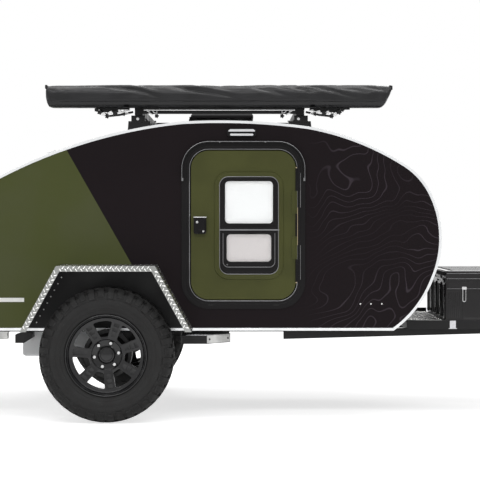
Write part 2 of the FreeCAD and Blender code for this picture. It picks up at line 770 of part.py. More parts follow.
def fender_backings():
    y0, y1 = body_half_width, body_half_width + backing_sheet
    plate = prism(fender_points(0), y0, y1)
    trim = box(-fender_half_foot, fender_half_foot, 0, y1 + 1, 0, body_bottom + trim_face + 0.5)
    return Part.makeCompound([on_side(plate.cut(trim), sign) for name, sign in SIDES])


# ---------- under the floor and on the roof ----------

def water_tank():
    tank = box(*tank_x, -tank_half_width, tank_half_width, tank_bottom, frame_top)
    tank = tank.makeFillet(18, [e for e in tank.Edges if e.BoundBox.ZMax < tank_bottom + 1])
    cap = rod(14, V(tank_x[0] - 14, tank_half_width - 60, tank_bottom + 30),
              V(tank_x[0] + 1, tank_half_width - 60, tank_bottom + 30))
    return fuse([tank, cap])


def stabiliser_brackets():
    parts = []
    for name, sign in SIDES:
        y0 = stabiliser_y - stabiliser_width / 2 - 6
        y1 = stabiliser_y + stabiliser_width / 2 + 6
        top = rail_bottom
        x0 = stabiliser_x - 40
        x1 = stabiliser_x + 40
        plate = box(x0, x1, y0, rail_y + rail_width, top - 6, top)
        cheeks = [box(x0 + 12, x1 - 12, y, y + 5, stabiliser_z - 18, top - 5) for y in (y0, y1 - 5)]
        pin = rod(stabiliser_pin, V(stabiliser_x, y0, stabiliser_z), V(stabiliser_x, y1, stabiliser_z))
        parts.append(on_side(fuse([plate, pin] + cheeks), sign))
    return Part.makeCompound(parts)


def stabiliser_leg():
    """Folded back along the frame at rest; it swings down about its pin."""
    z = stabiliser_z
    half = stabiliser_width / 2
    tube = box(stabiliser_x - stabiliser_length + 10, stabiliser_x + 14, stabiliser_y - half + 6,
               stabiliser_y + half - 6, z - 16, z + 16)
    foot = box(stabiliser_x - stabiliser_length, stabiliser_x - stabiliser_length + 12, stabiliser_y - 50,
               stabiliser_y + 50, z - 24, z + 24)
    bore = rod(stabiliser_pin + spindle_clearance, V(stabiliser_x, stabiliser_y - half, z),
               V(stabiliser_x, stabiliser_y + half, z))
    return fuse([tube, foot]).cut(bore)


def rack_feet(body):
    feet = []
    for x in crossbar_x:
        for name, sign in SIDES:
            y0, y1 = body_half_width - 62, body_half_width - trim_top
            foot = box(x - foot_length / 2, x + foot_length / 2, y0, y1, body_bottom + body_height - 60,
                       crossbar_top - crossbar_height)
            feet.append(on_side(foot.cut(body), sign))
    return Part.makeCompound(feet)


def rack_crossbars():
    bars = []
    step_y = bag_inset - rack_half_width + 5
    for x in crossbar_x:
        x0, x1 = x - crossbar_width / 2, x + crossbar_width / 2
        bar = box(x0, x1, -rack_half_width, rack_half_width, crossbar_top - crossbar_height, crossbar_top)
        bars.append(bar.cut(box(x0, x1, -rack_half_width, step_y, crossbar_top - bag_seat, crossbar_top)))
    return Part.makeCompound(bars)


def rack_side_rails():
    rails = []
    x0 = crossbar_x[0] + crossbar_width / 2
    x1 = crossbar_x[1] - crossbar_width / 2
    for name, sign in SIDES:
        rails.append(on_side(box(x0, x1, rack_half_width - 40, rack_half_width,
                                 crossbar_top - 32, crossbar_top - bag_seat), sign))
    return Part.makeCompound(rails)


def awning_bag():
    y1 = -rack_half_width + bag_inset
    bottom = crossbar_top - bag_seat + soft_gap
    bag = box(*bag_x, y1 - bag_depth, y1, bottom, bottom + bag_height)
    return bag.makeFillet(24, [e for e in bag.Edges if abs(e.tangentAt(e.FirstParameter).x) > 0.9])


def roof_vent_base(body):
    half = vent_opening / 2 + vent_wall
    top = vent_lid_top - vent_lid_thick - vent_lid_gap
    curb = box(vent_x - half, vent_x + half, -half, half, body_bottom + body_height - roof_thick, top)
    wide = half + vent_flange
    flange = box(vent_x - wide, vent_x + wide, -wide, wide, body_bottom + body_height - 10,
                 body_bottom + body_height + 5).cut(body)
    hole = box(vent_x - vent_opening / 2, vent_x + vent_opening / 2, -vent_opening / 2, vent_opening / 2,
               body_bottom + body_height - 80, top + 1)
    start, end = vent_axis()
    barrels = knuckles(start, end, 5, 5, 0)
    pads = [box(start.x - 5, vent_x - half + 1, b.BoundBox.YMin, b.BoundBox.YMax, start.z - 12, start.z)
            for b in barrels]
    return fuse([curb, flange] + barrels + pads).cut(hole)


def vent_axis():
    half = vent_opening / 2 + vent_wall
    x = vent_x - half - 8
    z = vent_lid_top - vent_lid_thick - vent_lid_gap
    return V(x, -120, z), V(x, 120, z)


def roof_vent_lid():
    half = vent_opening / 2 + vent_wall
    lid = box(vent_x - half, vent_x + half + 8, -half - 8, half + 8, vent_lid_top - vent_lid_thick, vent_lid_top)
    top_edges = [e for e in lid.Edges if e.BoundBox.ZMin > vent_lid_top - 1]
    lid = lid.makeFillet(16, top_edges)
    start, end = vent_axis()
    barrels = knuckles(start, end, 5, 5, 1)
    pads = [box(start.x - 4, vent_x - half + 1, b.BoundBox.YMin, b.BoundBox.YMax, start.z + 1, vent_lid_top - 12)
            for b in barrels]
    return fuse([lid] + barrels + pads)


def tail_lights(body):
    lights = []
    for name, sign in SIDES:
        lamp = box(body_rear_x - 12, body_rear_x + 60, body_half_width - 200, body_half_width - 60,
                   body_bottom + 60, body_bottom + 118)
        lights.append(on_side(lamp.cut(body), sign))
    return Part.makeCompound(lights)


def build():
    nodes = {}
    body = outline_prism(0, -body_half_width, body_half_width)
    band = shell_band()
    nodes["roof_shell"] = roof_shell(band)
    nodes["rear_panel"] = rear_panel(band)
    nodes["hatch_panel"] = hatch_panel(band)
    nodes["hatch_hinge"] = hatch_hinge(body)
    nodes["edge_trims"] = edge_trims()
    nodes["floor_panel"] = floor_panel()
    nodes["galley_bulkhead"] = galley_bulkhead()
    nodes["galley_cabinet"] = galley_cabinet()
    nodes["mattress"] = mattress()
    nodes["porch_lights"] = porch_lights()
    nodes["chassis_rails"] = chassis_rails()
    nodes["tongue_tubes"] = tongue_tubes()
    nodes["crossmembers"] = crossmembers()
    nodes["coupler"] = coupler()
    nodes["jack_housing"] = jack_housing()
    nodes["jack_leg"] = jack_leg()
    nodes["box_tray"] = box_tray()
    nodes["tongue_box_body"] = tongue_box_body()
    nodes["tongue_box_lid"] = tongue_box_lid()
    nodes["outriggers"] = outriggers()
    nodes["axle_beam"] = axle_beam()
    nodes["torsion_arms"] = torsion_arms()
    nodes["fender_backings"] = fender_backings()
    nodes["water_tank"] = water_tank()
    nodes["stabiliser_brackets"] = stabiliser_brackets()
    nodes["rack_feet"] = rack_feet(body)
    nodes["rack_crossbars"] = rack_crossbars()
    nodes["rack_side_rails"] = rack_side_rails()
    nodes["awning_bag"] = awning_bag()
    nodes["roof_vent_base"] = roof_vent_base(body)
    nodes["roof_vent_lid"] = roof_vent_lid()
    nodes["tail_lights"] = tail_lights(body)
    paired = {"side_wall": side_wall, "door_frame": door_frame, "door_panel": door_panel,
              "door_window": door_window, "door_glass": door_glass, "door_latch": door_latch,
              "hub": hub, "rim": rim, "tyre": tyre, "fender": fender, "stabiliser_leg": stabiliser_leg}
    for piece, make in paired.items():
        shape = make()
        for name, sign in SIDES:
            nodes[f"{piece}_{name}"] = on_side(shape, sign)
    return nodes


def main():
    os.makedirs("parts", exist_ok=True)
    nodes = build()
    whole = Part.makeCompound(list(nodes.values())).optimalBoundingBox()
    shift = V(-(whole.XMin + whole.XMax) / 2, 0, 0)
    for name, shape in nodes.items():
        placed = shape.copy()
        placed.translate(shift)
        placed.exportStep(f"parts/{name}.step")
    print(f"{len(nodes)} nodes, shift {shift.x:.3f}, x {whole.XMin:.1f} to {whole.XMax:.1f}, top {whole.ZMax:.1f}")
    for name, axis in (("hatch", hatch_axis()), ("door", door_axis()), ("box", box_axis()), ("vent", vent_axis())):
        print(name, axis[0] + shift, axis[1] + shift)


main()
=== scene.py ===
import math
import random

import bmesh
import bpy
from mathutils import Matrix, Vector
from mathutils.bvhtree import BVHTree


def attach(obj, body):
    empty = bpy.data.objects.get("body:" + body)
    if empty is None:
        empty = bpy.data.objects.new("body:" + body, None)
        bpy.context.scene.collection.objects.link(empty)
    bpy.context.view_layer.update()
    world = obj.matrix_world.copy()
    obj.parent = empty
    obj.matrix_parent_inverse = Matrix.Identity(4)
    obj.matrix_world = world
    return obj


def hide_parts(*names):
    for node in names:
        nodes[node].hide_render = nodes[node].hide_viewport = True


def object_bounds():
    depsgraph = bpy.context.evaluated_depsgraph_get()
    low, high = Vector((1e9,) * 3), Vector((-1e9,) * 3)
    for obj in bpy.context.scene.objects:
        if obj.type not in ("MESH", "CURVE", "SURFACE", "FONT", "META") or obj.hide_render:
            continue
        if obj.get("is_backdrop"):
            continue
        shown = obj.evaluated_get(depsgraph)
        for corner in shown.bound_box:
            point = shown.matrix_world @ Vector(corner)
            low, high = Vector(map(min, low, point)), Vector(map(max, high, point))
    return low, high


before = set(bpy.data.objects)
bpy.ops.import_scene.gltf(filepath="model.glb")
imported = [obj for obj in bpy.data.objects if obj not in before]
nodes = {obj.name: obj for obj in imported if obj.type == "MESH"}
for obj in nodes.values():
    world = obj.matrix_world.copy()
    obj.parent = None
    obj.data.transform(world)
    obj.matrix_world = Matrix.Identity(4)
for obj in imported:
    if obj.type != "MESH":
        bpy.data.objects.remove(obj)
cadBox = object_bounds()
print("frame loaded:", len(nodes), "nodes")


def surfaceOf(name):
    return BVHTree.FromObject(nodes[name], bpy.context.evaluated_depsgraph_get())


def meet(tree, start, direction=(0, 0, -1)):
    # where a ray, straight down if nothing else is said, first meets a surface
    return tree.ray_cast(Vector(start), Vector(direction))[0]


def addNode(tree, kind, **settings):
    node = tree.nodes.new("ShaderNode" + kind)
    for key, value in settings.items():
        setattr(node, key, value)
    return node


def feed(tree, source, target):
    # a number or colour is set on the socket, an output is linked to it
    if hasattr(source, "is_output"):
        tree.links.new(source, target)
    else:
        target.default_value = source


def mathNode(tree, operation, a, b=0.0, clamp=False):
    node = addNode(tree, "Math", operation=operation, use_clamp=clamp)
    feed(tree, a, node.inputs[0])
    feed(tree, b, node.inputs[1])
    return node.outputs[0]


def rampNode(tree, value, low, high, toLow=0.0, toHigh=1.0):
    node = addNode(tree, "MapRange", interpolation_type="SMOOTHSTEP")
    feed(tree, value, node.inputs[0])
    for socket, number in zip(node.inputs[1:5], (low, high, toLow, toHigh)):
        feed(tree, number, socket)
    return node.outputs[0]


def mixColour(tree, factor, a, b):
    node = addNode(tree, "Mix", data_type="RGBA")
    feed(tree, factor, node.inputs[0])
    feed(tree, a, node.inputs[6])
    feed(tree, b, node.inputs[7])
    return node.outputs[2]


def noiseNode(tree, vector, scale, detail=3.0, roughness=0.5, distortion=0.0):
    node = addNode(tree, "TexNoise")
    feed(tree, vector, node.inputs["Vector"])
    for key, number in (("Scale", scale), ("Detail", detail), ("Roughness", roughness),
                        ("Distortion", distortion)):
        feed(tree, number, node.inputs[key])
    return node.outputs["Fac"]


def stretched(tree, vector, scale):
    node = addNode(tree, "Mapping")
    feed(tree, vector, node.inputs["Vector"])
    node.inputs["Scale"].default_value = scale
    return node.outputs[0]


def waveBands(tree, vector, directions, scale):
    out = []
    for direction in directions:
        node = addNode(tree, "TexWave", wave_type="BANDS", bands_direction=direction)
        feed(tree, vector, node.inputs["Vector"])
        node.inputs["Scale"].default_value = scale
        out.append(node.outputs["Fac"])
    return out


def startGroup(name, inputs, outputs):
    group = bpy.data.node_groups.new(name, "ShaderNodeTree")
    for socketName, kind, default in inputs:
        socket = group.interface.new_socket(name=socketName, in_out="INPUT", socket_type="NodeSocket" + kind)
        socket.default_value = default
    for socketName, kind in outputs:
        group.interface.new_socket(name=socketName, in_out="OUTPUT", socket_type="NodeSocket" + kind)
    enter = group.nodes.new("NodeGroupInput")
    leave = group.nodes.new("NodeGroupOutput")
    return group, enter.outputs, leave.inputs


def objectPlace(tree):
    return addNode(tree, "TexCoord").outputs["Object"]


view = {"place": (-0.084, -9.99, 1.11), "tilt": -0.77, "turn": -0.034, "lens": 125.9, "sensor": 36.0}

cameraData = bpy.data.cameras.new("sideCamera")
cameraData.lens = view["lens"]
cameraData.sensor_width = view["sensor"]
cameraData.clip_end = 200
camera = bpy.data.objects.new("sideCamera", cameraData)
camera.location = view["place"]
camera.rotation_euler = (math.radians(90 + view["tilt"]), 0, math.radians(view["turn"]))
bpy.context.scene.collection.objects.link(camera)
bpy.context.scene.camera = camera
bpy.context.scene.view_settings.view_transform = "Standard"

studio = {
    "floorSize": 60.0,
    "floorColour": (0.80, 0.80, 0.80, 1),
    "floorGlow": 0.67,         # seen by the camera only
    "worldLight": 0.42,
    "lamps": [                 # name, place, aim, size, power
        ("overhead", (0.0, -0.6, 5.0), (0, 0, 0.8), (7.0, 2.4), 215),
        ("sideStrip", (-0.4, -4.4, 4.4), (-0.3, -0.7, 1.2), (6.0, 0.7), 85),
        ("farStrip", (1.0, 4.8, 4.6), (0, 0.7, 1.0), (5.0, 1.0), 85),
        ("frontStrip", (6.0, -1.5, 2.6), (1.2, 0, 0.8), (0.8, 2.6), 35),
        ("rearStrip", (-6.0, -1.5, 2.6), (-1.2, 0, 0.8), (0.8, 2.6), 35),
    ],
}


def mixBackdrop(tree, hidden, seen, out):
    # the seen shader for camera, glossy and transmission rays, the hidden one for all others
    path = addNode(tree, "LightPath").outputs
    ray = mathNode(tree, "MAXIMUM", path["Is Camera Ray"], path["Is Glossy Ray"])
    mix = addNode(tree, "MixShader")
    feed(tree, mathNode(tree, "MAXIMUM", ray, path["Is Transmission Ray"]), mix.inputs[0])
    feed(tree, hidden.outputs[0], mix.inputs[1])
    feed(tree, seen.outputs[0], mix.inputs[2])
    feed(tree, mix.outputs[0], addNode(tree, out).inputs[0])


world = bpy.data.worlds.new("studioWorld")
bpy.context.scene.world = world
world.use_nodes = True
worldTree = world.node_tree
worldTree.nodes.clear()
shades = []
for strength in (studio["worldLight"], 1.0):
    shades.append(addNode(worldTree, "Background"))
    shades[-1].inputs["Color"].default_value = (1, 1, 1, 1)
    shades[-1].inputs["Strength"].default_value = strength
mixBackdrop(worldTree, *shades, "OutputWorld")

for lampName, place, aim, size, power in studio["lamps"]:
    lampData = bpy.data.lights.new(lampName, "AREA")
    lampData.shape = "RECTANGLE"
    lampData.size, lampData.size_y = size
    lampData.energy = power
    lamp = bpy.data.objects.new(lampName, lampData)
    lamp.location = place
    lamp.rotation_euler = (Vector(aim) - Vector(place)).to_track_quat("-Z", "Y").to_euler()
    bpy.context.scene.collection.objects.link(lamp)

floorMaterial = bpy.data.materials.new("studioFloor")
floorMaterial.use_nodes = True
floorTree = floorMaterial.node_tree
floorTree.nodes.clear()
floorDiffuse = addNode(floorTree, "BsdfDiffuse")
floorDiffuse.inputs["Color"].default_value = studio["floorColour"]
floorGlow = addNode(floorTree, "Emission")
floorGlow.inputs["Strength"].default_value = studio["floorGlow"]
floorAdd = addNode(floorTree, "AddShader")
feed(floorTree, floorDiffuse.outputs[0], floorAdd.inputs[0])
feed(floorTree, floorGlow.outputs[0], floorAdd.inputs[1])
mixBackdrop(floorTree, floorDiffuse, floorAdd, "OutputMaterial")

floorMesh = bpy.data.meshes.new("floor")
half = studio["floorSize"] / 2
floorMesh.from_pydata([(-half, -half, 0), (half, -half, 0), (half, half, 0), (-half, half, 0)], [],
                      [(0, 1, 2, 3)])
floorMesh.materials.append(floorMaterial)
floor = bpy.data.objects.new("floor", floorMesh)
bpy.context.scene.collection.objects.link(floor)
floor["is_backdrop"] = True
print("studio ready")

# fine grain of a moulded or sprayed skin, with broad clouding
grainGroup, gIn, gOut = startGroup(
    "skinGrain",
    [("Grain Scale", "Float", 900.0), ("Cloud Scale", "Float", 6.0)],
    [("Grain", "Float"), ("Cloud", "Float"), ("Scuff", "Float")])
place = objectPlace(grainGroup)
fine = noiseNode(grainGroup, place, gIn["Grain Scale"], 2.0, 0.6)
feed(grainGroup, fine, gOut["Grain"])
feed(grainGroup, rampNode(grainGroup, noiseNode(grainGroup, place, gIn["Cloud Scale"], 4.0), 0.3, 0.7),
     gOut["Cloud"])
streak = noiseNode(grainGroup, stretched(grainGroup, place, (4, 4, 60)), 4.0, 6.0, 0.7)
feed(grainGroup, rampNode(grainGroup, streak, 0.6, 0.75), gOut["Scuff"])

# rubbed edges, and a small rounding of their normal
wearGroup, wIn, wOut = startGroup(
    "edgeWear",
    [("Width", "Float", 0.0015), ("Breakup", "Float", 60.0)],
    [("Wear", "Float"), ("Normal", "Vector")])
bevel = addNode(wearGroup, "Bevel", samples=4)
feed(wearGroup, wIn["Width"], bevel.inputs["Radius"])
flat = addNode(wearGroup, "NewGeometry").outputs["Normal"]
dot = addNode(wearGroup, "VectorMath", operation="DOT_PRODUCT")
feed(wearGroup, bevel.outputs[0], dot.inputs[0])
feed(wearGroup, flat, dot.inputs[1])
edge = rampNode(wearGroup, mathNode(wearGroup, "SUBTRACT", 1.0, dot.outputs["Value"]), 0.01, 0.2)
broken = rampNode(wearGroup, noiseNode(wearGroup, objectPlace(wearGroup), wIn["Breakup"], 5.0, 0.65), 0.42, 0.6)
feed(wearGroup, mathNode(wearGroup, "MULTIPLY", edge, broken), wOut["Wear"])
feed(wearGroup, bevel.outputs[0], wOut["Normal"])

# road dust on faces that look up, and low down
dustGroup, dIn, dOut = startGroup(
    "roadDust",
    [("Low", "Float", 0.0), ("High", "Float", 0.6)],
    [("Dust", "Float")])
facing = addNode(dustGroup, "SeparateXYZ")
feed(dustGroup, addNode(dustGroup, "NewGeometry").outputs["Normal"], facing.inputs[0])
upward = rampNode(dustGroup, facing.outputs["Z"], 0.3, 1.0, 0.25, 1.0)
lift = addNode(dustGroup, "SeparateXYZ")
feed(dustGroup, objectPlace(dustGroup), lift.inputs[0])
lowDown = rampNode(dustGroup, lift.outputs["Z"], dIn["High"], dIn["Low"])
patches = rampNode(dustGroup, noiseNode(dustGroup, objectPlace(dustGroup), 22.0, 7.0, 0.65), 0.35, 0.75)
amount = mathNode(dustGroup, "MULTIPLY", mathNode(dustGroup, "MULTIPLY", upward, lowDown), patches)
feed(dustGroup, amount, dOut["Dust"])

# long brushing marks of drawn or rolled metal
brushGroup, bIn, bOut = startGroup(
    "drawnLines",
    [("Across", "Float", 400.0)],
    [("Lines", "Float"), ("Blotch", "Float")])
across = noiseNode(brushGroup, stretched(brushGroup, objectPlace(brushGroup), (0.02, 1, 1)), bIn["Across"], 3.0,
                   0.6)
feed(brushGroup, across, bOut["Lines"])
blotch = noiseNode(brushGroup, objectPlace(brushGroup), 9.0, 5.0, 0.6)
feed(brushGroup, rampNode(brushGroup, blotch, 0.35, 0.7), bOut["Blotch"])

finishes = {}      # every material by its name


def startMaterial(name):
    finishes[name] = bpy.data.materials.new(name)
    finishes[name].use_nodes = True
    tree = finishes[name].node_tree
    return tree, tree.nodes["Principled BSDF"]


def useGroup(tree, group, **values):
    node = tree.nodes.new("ShaderNodeGroup")
    node.node_tree = group
    for key, number in values.items():
        feed(tree, number, node.inputs[key.replace("_", " ")])
    return node.outputs


def bumpNode(tree, height, strength, distance, normal=None):
    node = addNode(tree, "Bump")
    node.inputs["Strength"].default_value = strength
    node.inputs["Distance"].default_value = distance
    feed(tree, height, node.inputs["Height"])
    if normal is not None:
        feed(tree, normal, node.inputs["Normal"])
    return node.outputs[0]


def dustFilm(tree, shade, dust):
    film = mathNode(tree, "MULTIPLY", useGroup(tree, dustGroup)["Dust"], dust)
    return film, mixColour(tree, film, shade, (0.29, 0.26, 0.22, 1))


def fillShader(tree, shader, shade, rough, normal, **plain):
    # the three sockets that every material feeds, and plain numbers for the others
    for key, source in (("Base Color", shade), ("Roughness", rough), ("Normal", normal)):
        feed(tree, source, shader.inputs[key])
    for key, number in plain.items():
        shader.inputs[key.replace("_", " ")].default_value = number


def skinMaterial(name, colour, rough, grainScale=900.0, grainDepth=0.0002, grainStrength=0.3, cloud=0.12,
                 wearColour=None, dust=0.0, coat=0.0, coatRough=0.1, specular=0.5):
    # one recipe for sprayed, powder-coated and moulded skins
    tree, shader = startMaterial(name)
    grain = useGroup(tree, grainGroup, Grain_Scale=grainScale)
    darker = tuple(c * (1 - cloud) for c in colour[:3]) + (1,)
    lighter = tuple(min(1, c * (1 + cloud)) for c in colour[:3]) + (1,)
    shade = mixColour(tree, grain["Cloud"], darker, lighter)
    roughOut = rampNode(tree, grain["Cloud"], 0.0, 1.0, max(0.03, rough - 0.05), min(1, rough + 0.06))
    roughOut = mathNode(tree, "ADD", roughOut, mathNode(tree, "MULTIPLY", grain["Scuff"], 0.08), clamp=True)
    wear = useGroup(tree, wearGroup, Width=0.0012)
    if wearColour:
        shade = mixColour(tree, mathNode(tree, "MULTIPLY", wear["Wear"], 0.55), shade, wearColour)
    if dust:
        film, shade = dustFilm(tree, shade, dust)
        roughOut = mathNode(tree, "MAXIMUM", roughOut, mathNode(tree, "MULTIPLY", film, 0.9))
    normal = bumpNode(tree, grain["Grain"], grainStrength, grainDepth, wear["Normal"])
    fillShader(tree, shader, shade, roughOut, normal, Specular_IOR_Level=specular)
    if coat:
        shader.inputs["Coat Weight"].default_value = coat
        shader.inputs["Coat Roughness"].default_value = coatRough


def wallPaint():
    # black ahead of a raked line and olive behind it, with faint contour lines on the black
    look = {
        "olive": (0.070, 0.080, 0.026, 1), "black": (0.0066, 0.0036, 0.0048, 1),
        "line": (0.040, 0.031, 0.038, 1),
        "lineTop": (-1.039, 1.488), "lineFoot": (-0.678, 0.853), "contourFrom": 0.26, "rings": 17.0,
        "climb": 0.42, "bend": 1.15,
    }
    tree, shader = startMaterial("wallPaint")
    at = addNode(tree, "SeparateXYZ")
    feed(tree, objectPlace(tree), at.inputs[0])
    x, z = at.outputs["X"], at.outputs["Z"]
    (x0, z0), (x1, z1) = look["lineTop"], look["lineFoot"]
    slope = (x1 - x0) / (z1 - z0)
    along = mathNode(tree, "SUBTRACT", x, mathNode(tree, "MULTIPLY", mathNode(tree, "SUBTRACT", z, z0), slope))
    ahead = rampNode(tree, along, x0 - 0.0008, x0 + 0.0008)
    grain = useGroup(tree, grainGroup, Grain_Scale=1400.0, Cloud_Scale=3.0)
    # contour lines: even steps down a slope that climbs to the front, bent by a slow noise
    bend = noiseNode(tree, stretched(tree, objectPlace(tree), (1.0, 0.0, 1.0)), 2.1, 2.2, 0.5, 0.25)
    slopeOut = mathNode(tree, "SUBTRACT", z, mathNode(tree, "MULTIPLY", x, look["climb"]))
    field = mathNode(tree, "ADD", slopeOut, mathNode(tree, "MULTIPLY", bend, look["bend"]))
    steps = mathNode(tree, "FRACT", mathNode(tree, "MULTIPLY", field, look["rings"]))
    offLine = mathNode(tree, "ABSOLUTE", mathNode(tree, "SUBTRACT", steps, 0.5))
    line = rampNode(tree, offLine, 0.02, 0.075, 1.0, 0.0)
    near = rampNode(tree, x, look["contourFrom"], look["contourFrom"] + 0.25)
    fade = rampNode(tree, noiseNode(tree, objectPlace(tree), 1.7, 2.0), 0.38, 0.56, 0.25, 1.0)
    line = mathNode(tree, "MULTIPLY", mathNode(tree, "MULTIPLY", line, near), fade)
    black = mixColour(tree, line, look["black"], look["line"])
    olive = mixColour(tree, mathNode(tree, "MULTIPLY", grain["Cloud"], 0.16), look["olive"],
                      (0.10, 0.098, 0.085, 1))
    shade = mixColour(tree, ahead, olive, black)
    rough = rampNode(tree, grain["Cloud"], 0.0, 1.0, 0.36, 0.46)
    rough = mathNode(tree, "SUBTRACT", rough, mathNode(tree, "MULTIPLY", line, 0.12))
    wear = useGroup(tree, wearGroup, Width=0.0012)
    height = mathNode(tree, "ADD", grain["Grain"], mathNode(tree, "MULTIPLY", line, 0.6))
    normal = bumpNode(tree, height, 0.12, 0.00015, wear["Normal"])
    fillShader(tree, shader, shade, rough, normal, Specular_IOR_Level=0.11)


def metalMaterial(name, colour, rough, across=400.0, depth=0.0001, strength=0.25, blotch=0.12, dust=0.0):
    tree, shader = startMaterial(name)
    lines = useGroup(tree, brushGroup, Across=across)
    darker = tuple(c * (1 - blotch) for c in colour[:3]) + (1,)
    shade = mixColour(tree, lines["Blotch"], darker, colour)
    wear = useGroup(tree, wearGroup)
    roughOut = rampNode(tree, lines["Blotch"], 0.0, 1.0, rough + 0.08, rough)
    if dust:
        shade = dustFilm(tree, shade, dust)[1]
    fillShader(tree, shader, shade, roughOut, bumpNode(tree, lines["Lines"], strength, depth, wear["Normal"]),
               Metallic=1.0)


def plyMaterial():
    tree, shader = startMaterial("birchPly")
    at = objectPlace(tree)
    rings = noiseNode(tree, stretched(tree, at, (1.0, 1.0, 14.0)), 5.0, 6.0, 0.6, 0.6)
    flecks = noiseNode(tree, stretched(tree, at, (6.0, 6.0, 160.0)), 12.0, 2.0)
    shade = mixColour(tree, rampNode(tree, rings, 0.35, 0.65), (0.62, 0.43, 0.24, 1), (0.76, 0.57, 0.35, 1))
    shade = mixColour(tree, mathNode(tree, "MULTIPLY", rampNode(tree, flecks, 0.55, 0.75), 0.35), shade,
                      (0.42, 0.26, 0.13, 1))
    wear = useGroup(tree, wearGroup)
    fillShader(tree, shader, shade, rampNode(tree, rings, 0.3, 0.7, 0.38, 0.5),
               bumpNode(tree, flecks, 0.2, 0.0002, wear["Normal"]))


def vinylMaterial():
    # coated awning cover: fine weave under a dull coat, with a painted highlight along its creases
    tree, shader = startMaterial("coverVinyl")
    at = objectPlace(tree)
    weave = mathNode(tree, "ADD", *waveBands(tree, at, ("X", "DIAGONAL"), 220.0))
    crease = noiseNode(tree, stretched(tree, at, (6.0, 9.0, 26.0)), 1.6, 5.0, 0.55, 0.8)
    creaseHighlight = rampNode(tree, crease, 0.52, 0.72)
    cloud = useGroup(tree, grainGroup, Grain_Scale=700.0, Cloud_Scale=9.0)
    # painted highlight: along the crease noise the cover is mixed towards a paler grey
    shade = mixColour(tree, mathNode(tree, "MULTIPLY", creaseHighlight, 0.35), (0.0058, 0.0058, 0.0066, 1),
                      (0.026, 0.026, 0.028, 1))
    shade = mixColour(tree, mathNode(tree, "MULTIPLY", cloud["Cloud"], 0.18), shade, (0.022, 0.022, 0.024, 1))
    normal = bumpNode(tree, weave, 0.15, 0.0002, bumpNode(tree, crease, 0.5, 0.004))
    fillShader(tree, shader, shade, rampNode(tree, cloud["Cloud"], 0, 1, 0.32, 0.44), normal,
               Specular_IOR_Level=0.32)


def clothMaterial(name, colour, second):
    tree, shader = startMaterial(name)
    at = objectPlace(tree)
    weave = mathNode(tree, "MULTIPLY", *waveBands(tree, at, "XY", 260.0))
    slub = noiseNode(tree, stretched(tree, at, (40.0, 4.0, 4.0)), 6.0, 3.0)
    shade = mixColour(tree, rampNode(tree, slub, 0.4, 0.7), colour, second)
    fillShader(tree, shader, shade, rampNode(tree, slub, 0.3, 0.7, 0.82, 0.94),
               bumpNode(tree, weave, 0.4, 0.0005), Sheen_Weight=0.3)


def glassMaterial(name, colour, rough):
    tree, shader = startMaterial(name)
    grain = useGroup(tree, grainGroup, Grain_Scale=300.0)
    fillShader(tree, shader, colour, rampNode(tree, grain["Scuff"], 0, 1, rough, rough + 0.06),
               bumpNode(tree, grain["Cloud"], 0.05, 0.001), Transmission_Weight=1.0, Metallic=0.0, IOR=1.49)


def rubberMaterial():
    # tyre rubber: dull charcoal with paler specks
    tree, shader = startMaterial("tyreRubber")
    grain = useGroup(tree, grainGroup, Grain_Scale=1100.0, Cloud_Scale=14.0)
    shade = mixColour(tree, grain["Cloud"], (0.010, 0.010, 0.010, 1), (0.017, 0.0165, 0.0165, 1))
    speck = noiseNode(tree, objectPlace(tree), 160.0, 4.0, 0.7)
    shade = mixColour(tree, mathNode(tree, "MULTIPLY", rampNode(tree, speck, 0.58, 0.7), 0.35), shade,
                      (0.07, 0.066, 0.06, 1))
    wear = useGroup(tree, wearGroup, Width=0.0012)
    fillShader(tree, shader, shade, rampNode(tree, grain["Cloud"], 0, 1, 0.62, 0.78),
               bumpNode(tree, grain["Grain"], 0.35, 0.0003, wear["Normal"]), Specular_IOR_Level=0.3)


def screenMaterial(name, low, high, paintedGlow):
    # fine gauze or blind cloth close behind a pane, with a painted glow that stands in for light through it
    tree, shader = startMaterial(name)
    mesh = mathNode(tree, "MAXIMUM", *waveBands(tree, objectPlace(tree), "XZ", 300.0))
    shade = mixColour(tree, mesh, low, high)
    # painted glow: the cloth's own colour is given off as light, though it is no lamp
    feed(tree, shade, shader.inputs["Emission Color"])
    fillShader(tree, shader, shade, 0.7, bumpNode(tree, mesh, 0.3, 0.0003), Emission_Strength=paintedGlow)


blackEdge = (0.16, 0.16, 0.165, 1)
wallPaint()
skinMaterial("olivePaint", (0.070, 0.080, 0.026, 1), 0.40, 1400, 0.00012, 0.12, 0.10, specular=0.14)
skinMaterial("doorOlive", (0.064, 0.068, 0.020, 1), 0.38, 700, 0.0002, 0.2, 0.08, specular=0.16)
skinMaterial("charcoalPaint", (0.0066, 0.0036, 0.0048, 1), 0.40, 1400, 0.00012, 0.12, 0.12,
                              specular=0.11)
skinMaterial("powderBlack", (0.0062, 0.0060, 0.0066, 1), 0.40, 600, 0.0004, 0.4, 0.15,
                            wearColour=blackEdge, dust=0.25, specular=0.25)
skinMaterial("blackPlastic", (0.0046, 0.0040, 0.0044, 1), 0.34, 500, 0.0005, 0.35, 0.12,
                             wearColour=(0.05, 0.05, 0.052, 1), specular=0.16)
skinMaterial("boxPlastic", (0.0062, 0.0052, 0.0058, 1), 0.22, 450, 0.0004, 0.25, 0.12,
                           wearColour=(0.06, 0.06, 0.062, 1), specular=0.34)
skinMaterial("ribGloss", (0.010, 0.009, 0.010, 1), 0.16, 450, 0.0003, 0.15, 0.12, coat=1.0, coatRough=0.1,
                         specular=0.9)
skinMaterial("matteBlack", (0.0050, 0.0044, 0.0050, 1), 0.55, 450, 0.0004, 0.25, 0.12, specular=0.02)
skinMaterial("drumIron", (0.012, 0.012, 0.0125, 1), 0.5, 300, 0.0006, 0.5, 0.2,
                         wearColour=(0.2, 0.19, 0.18, 1), dust=0.4)
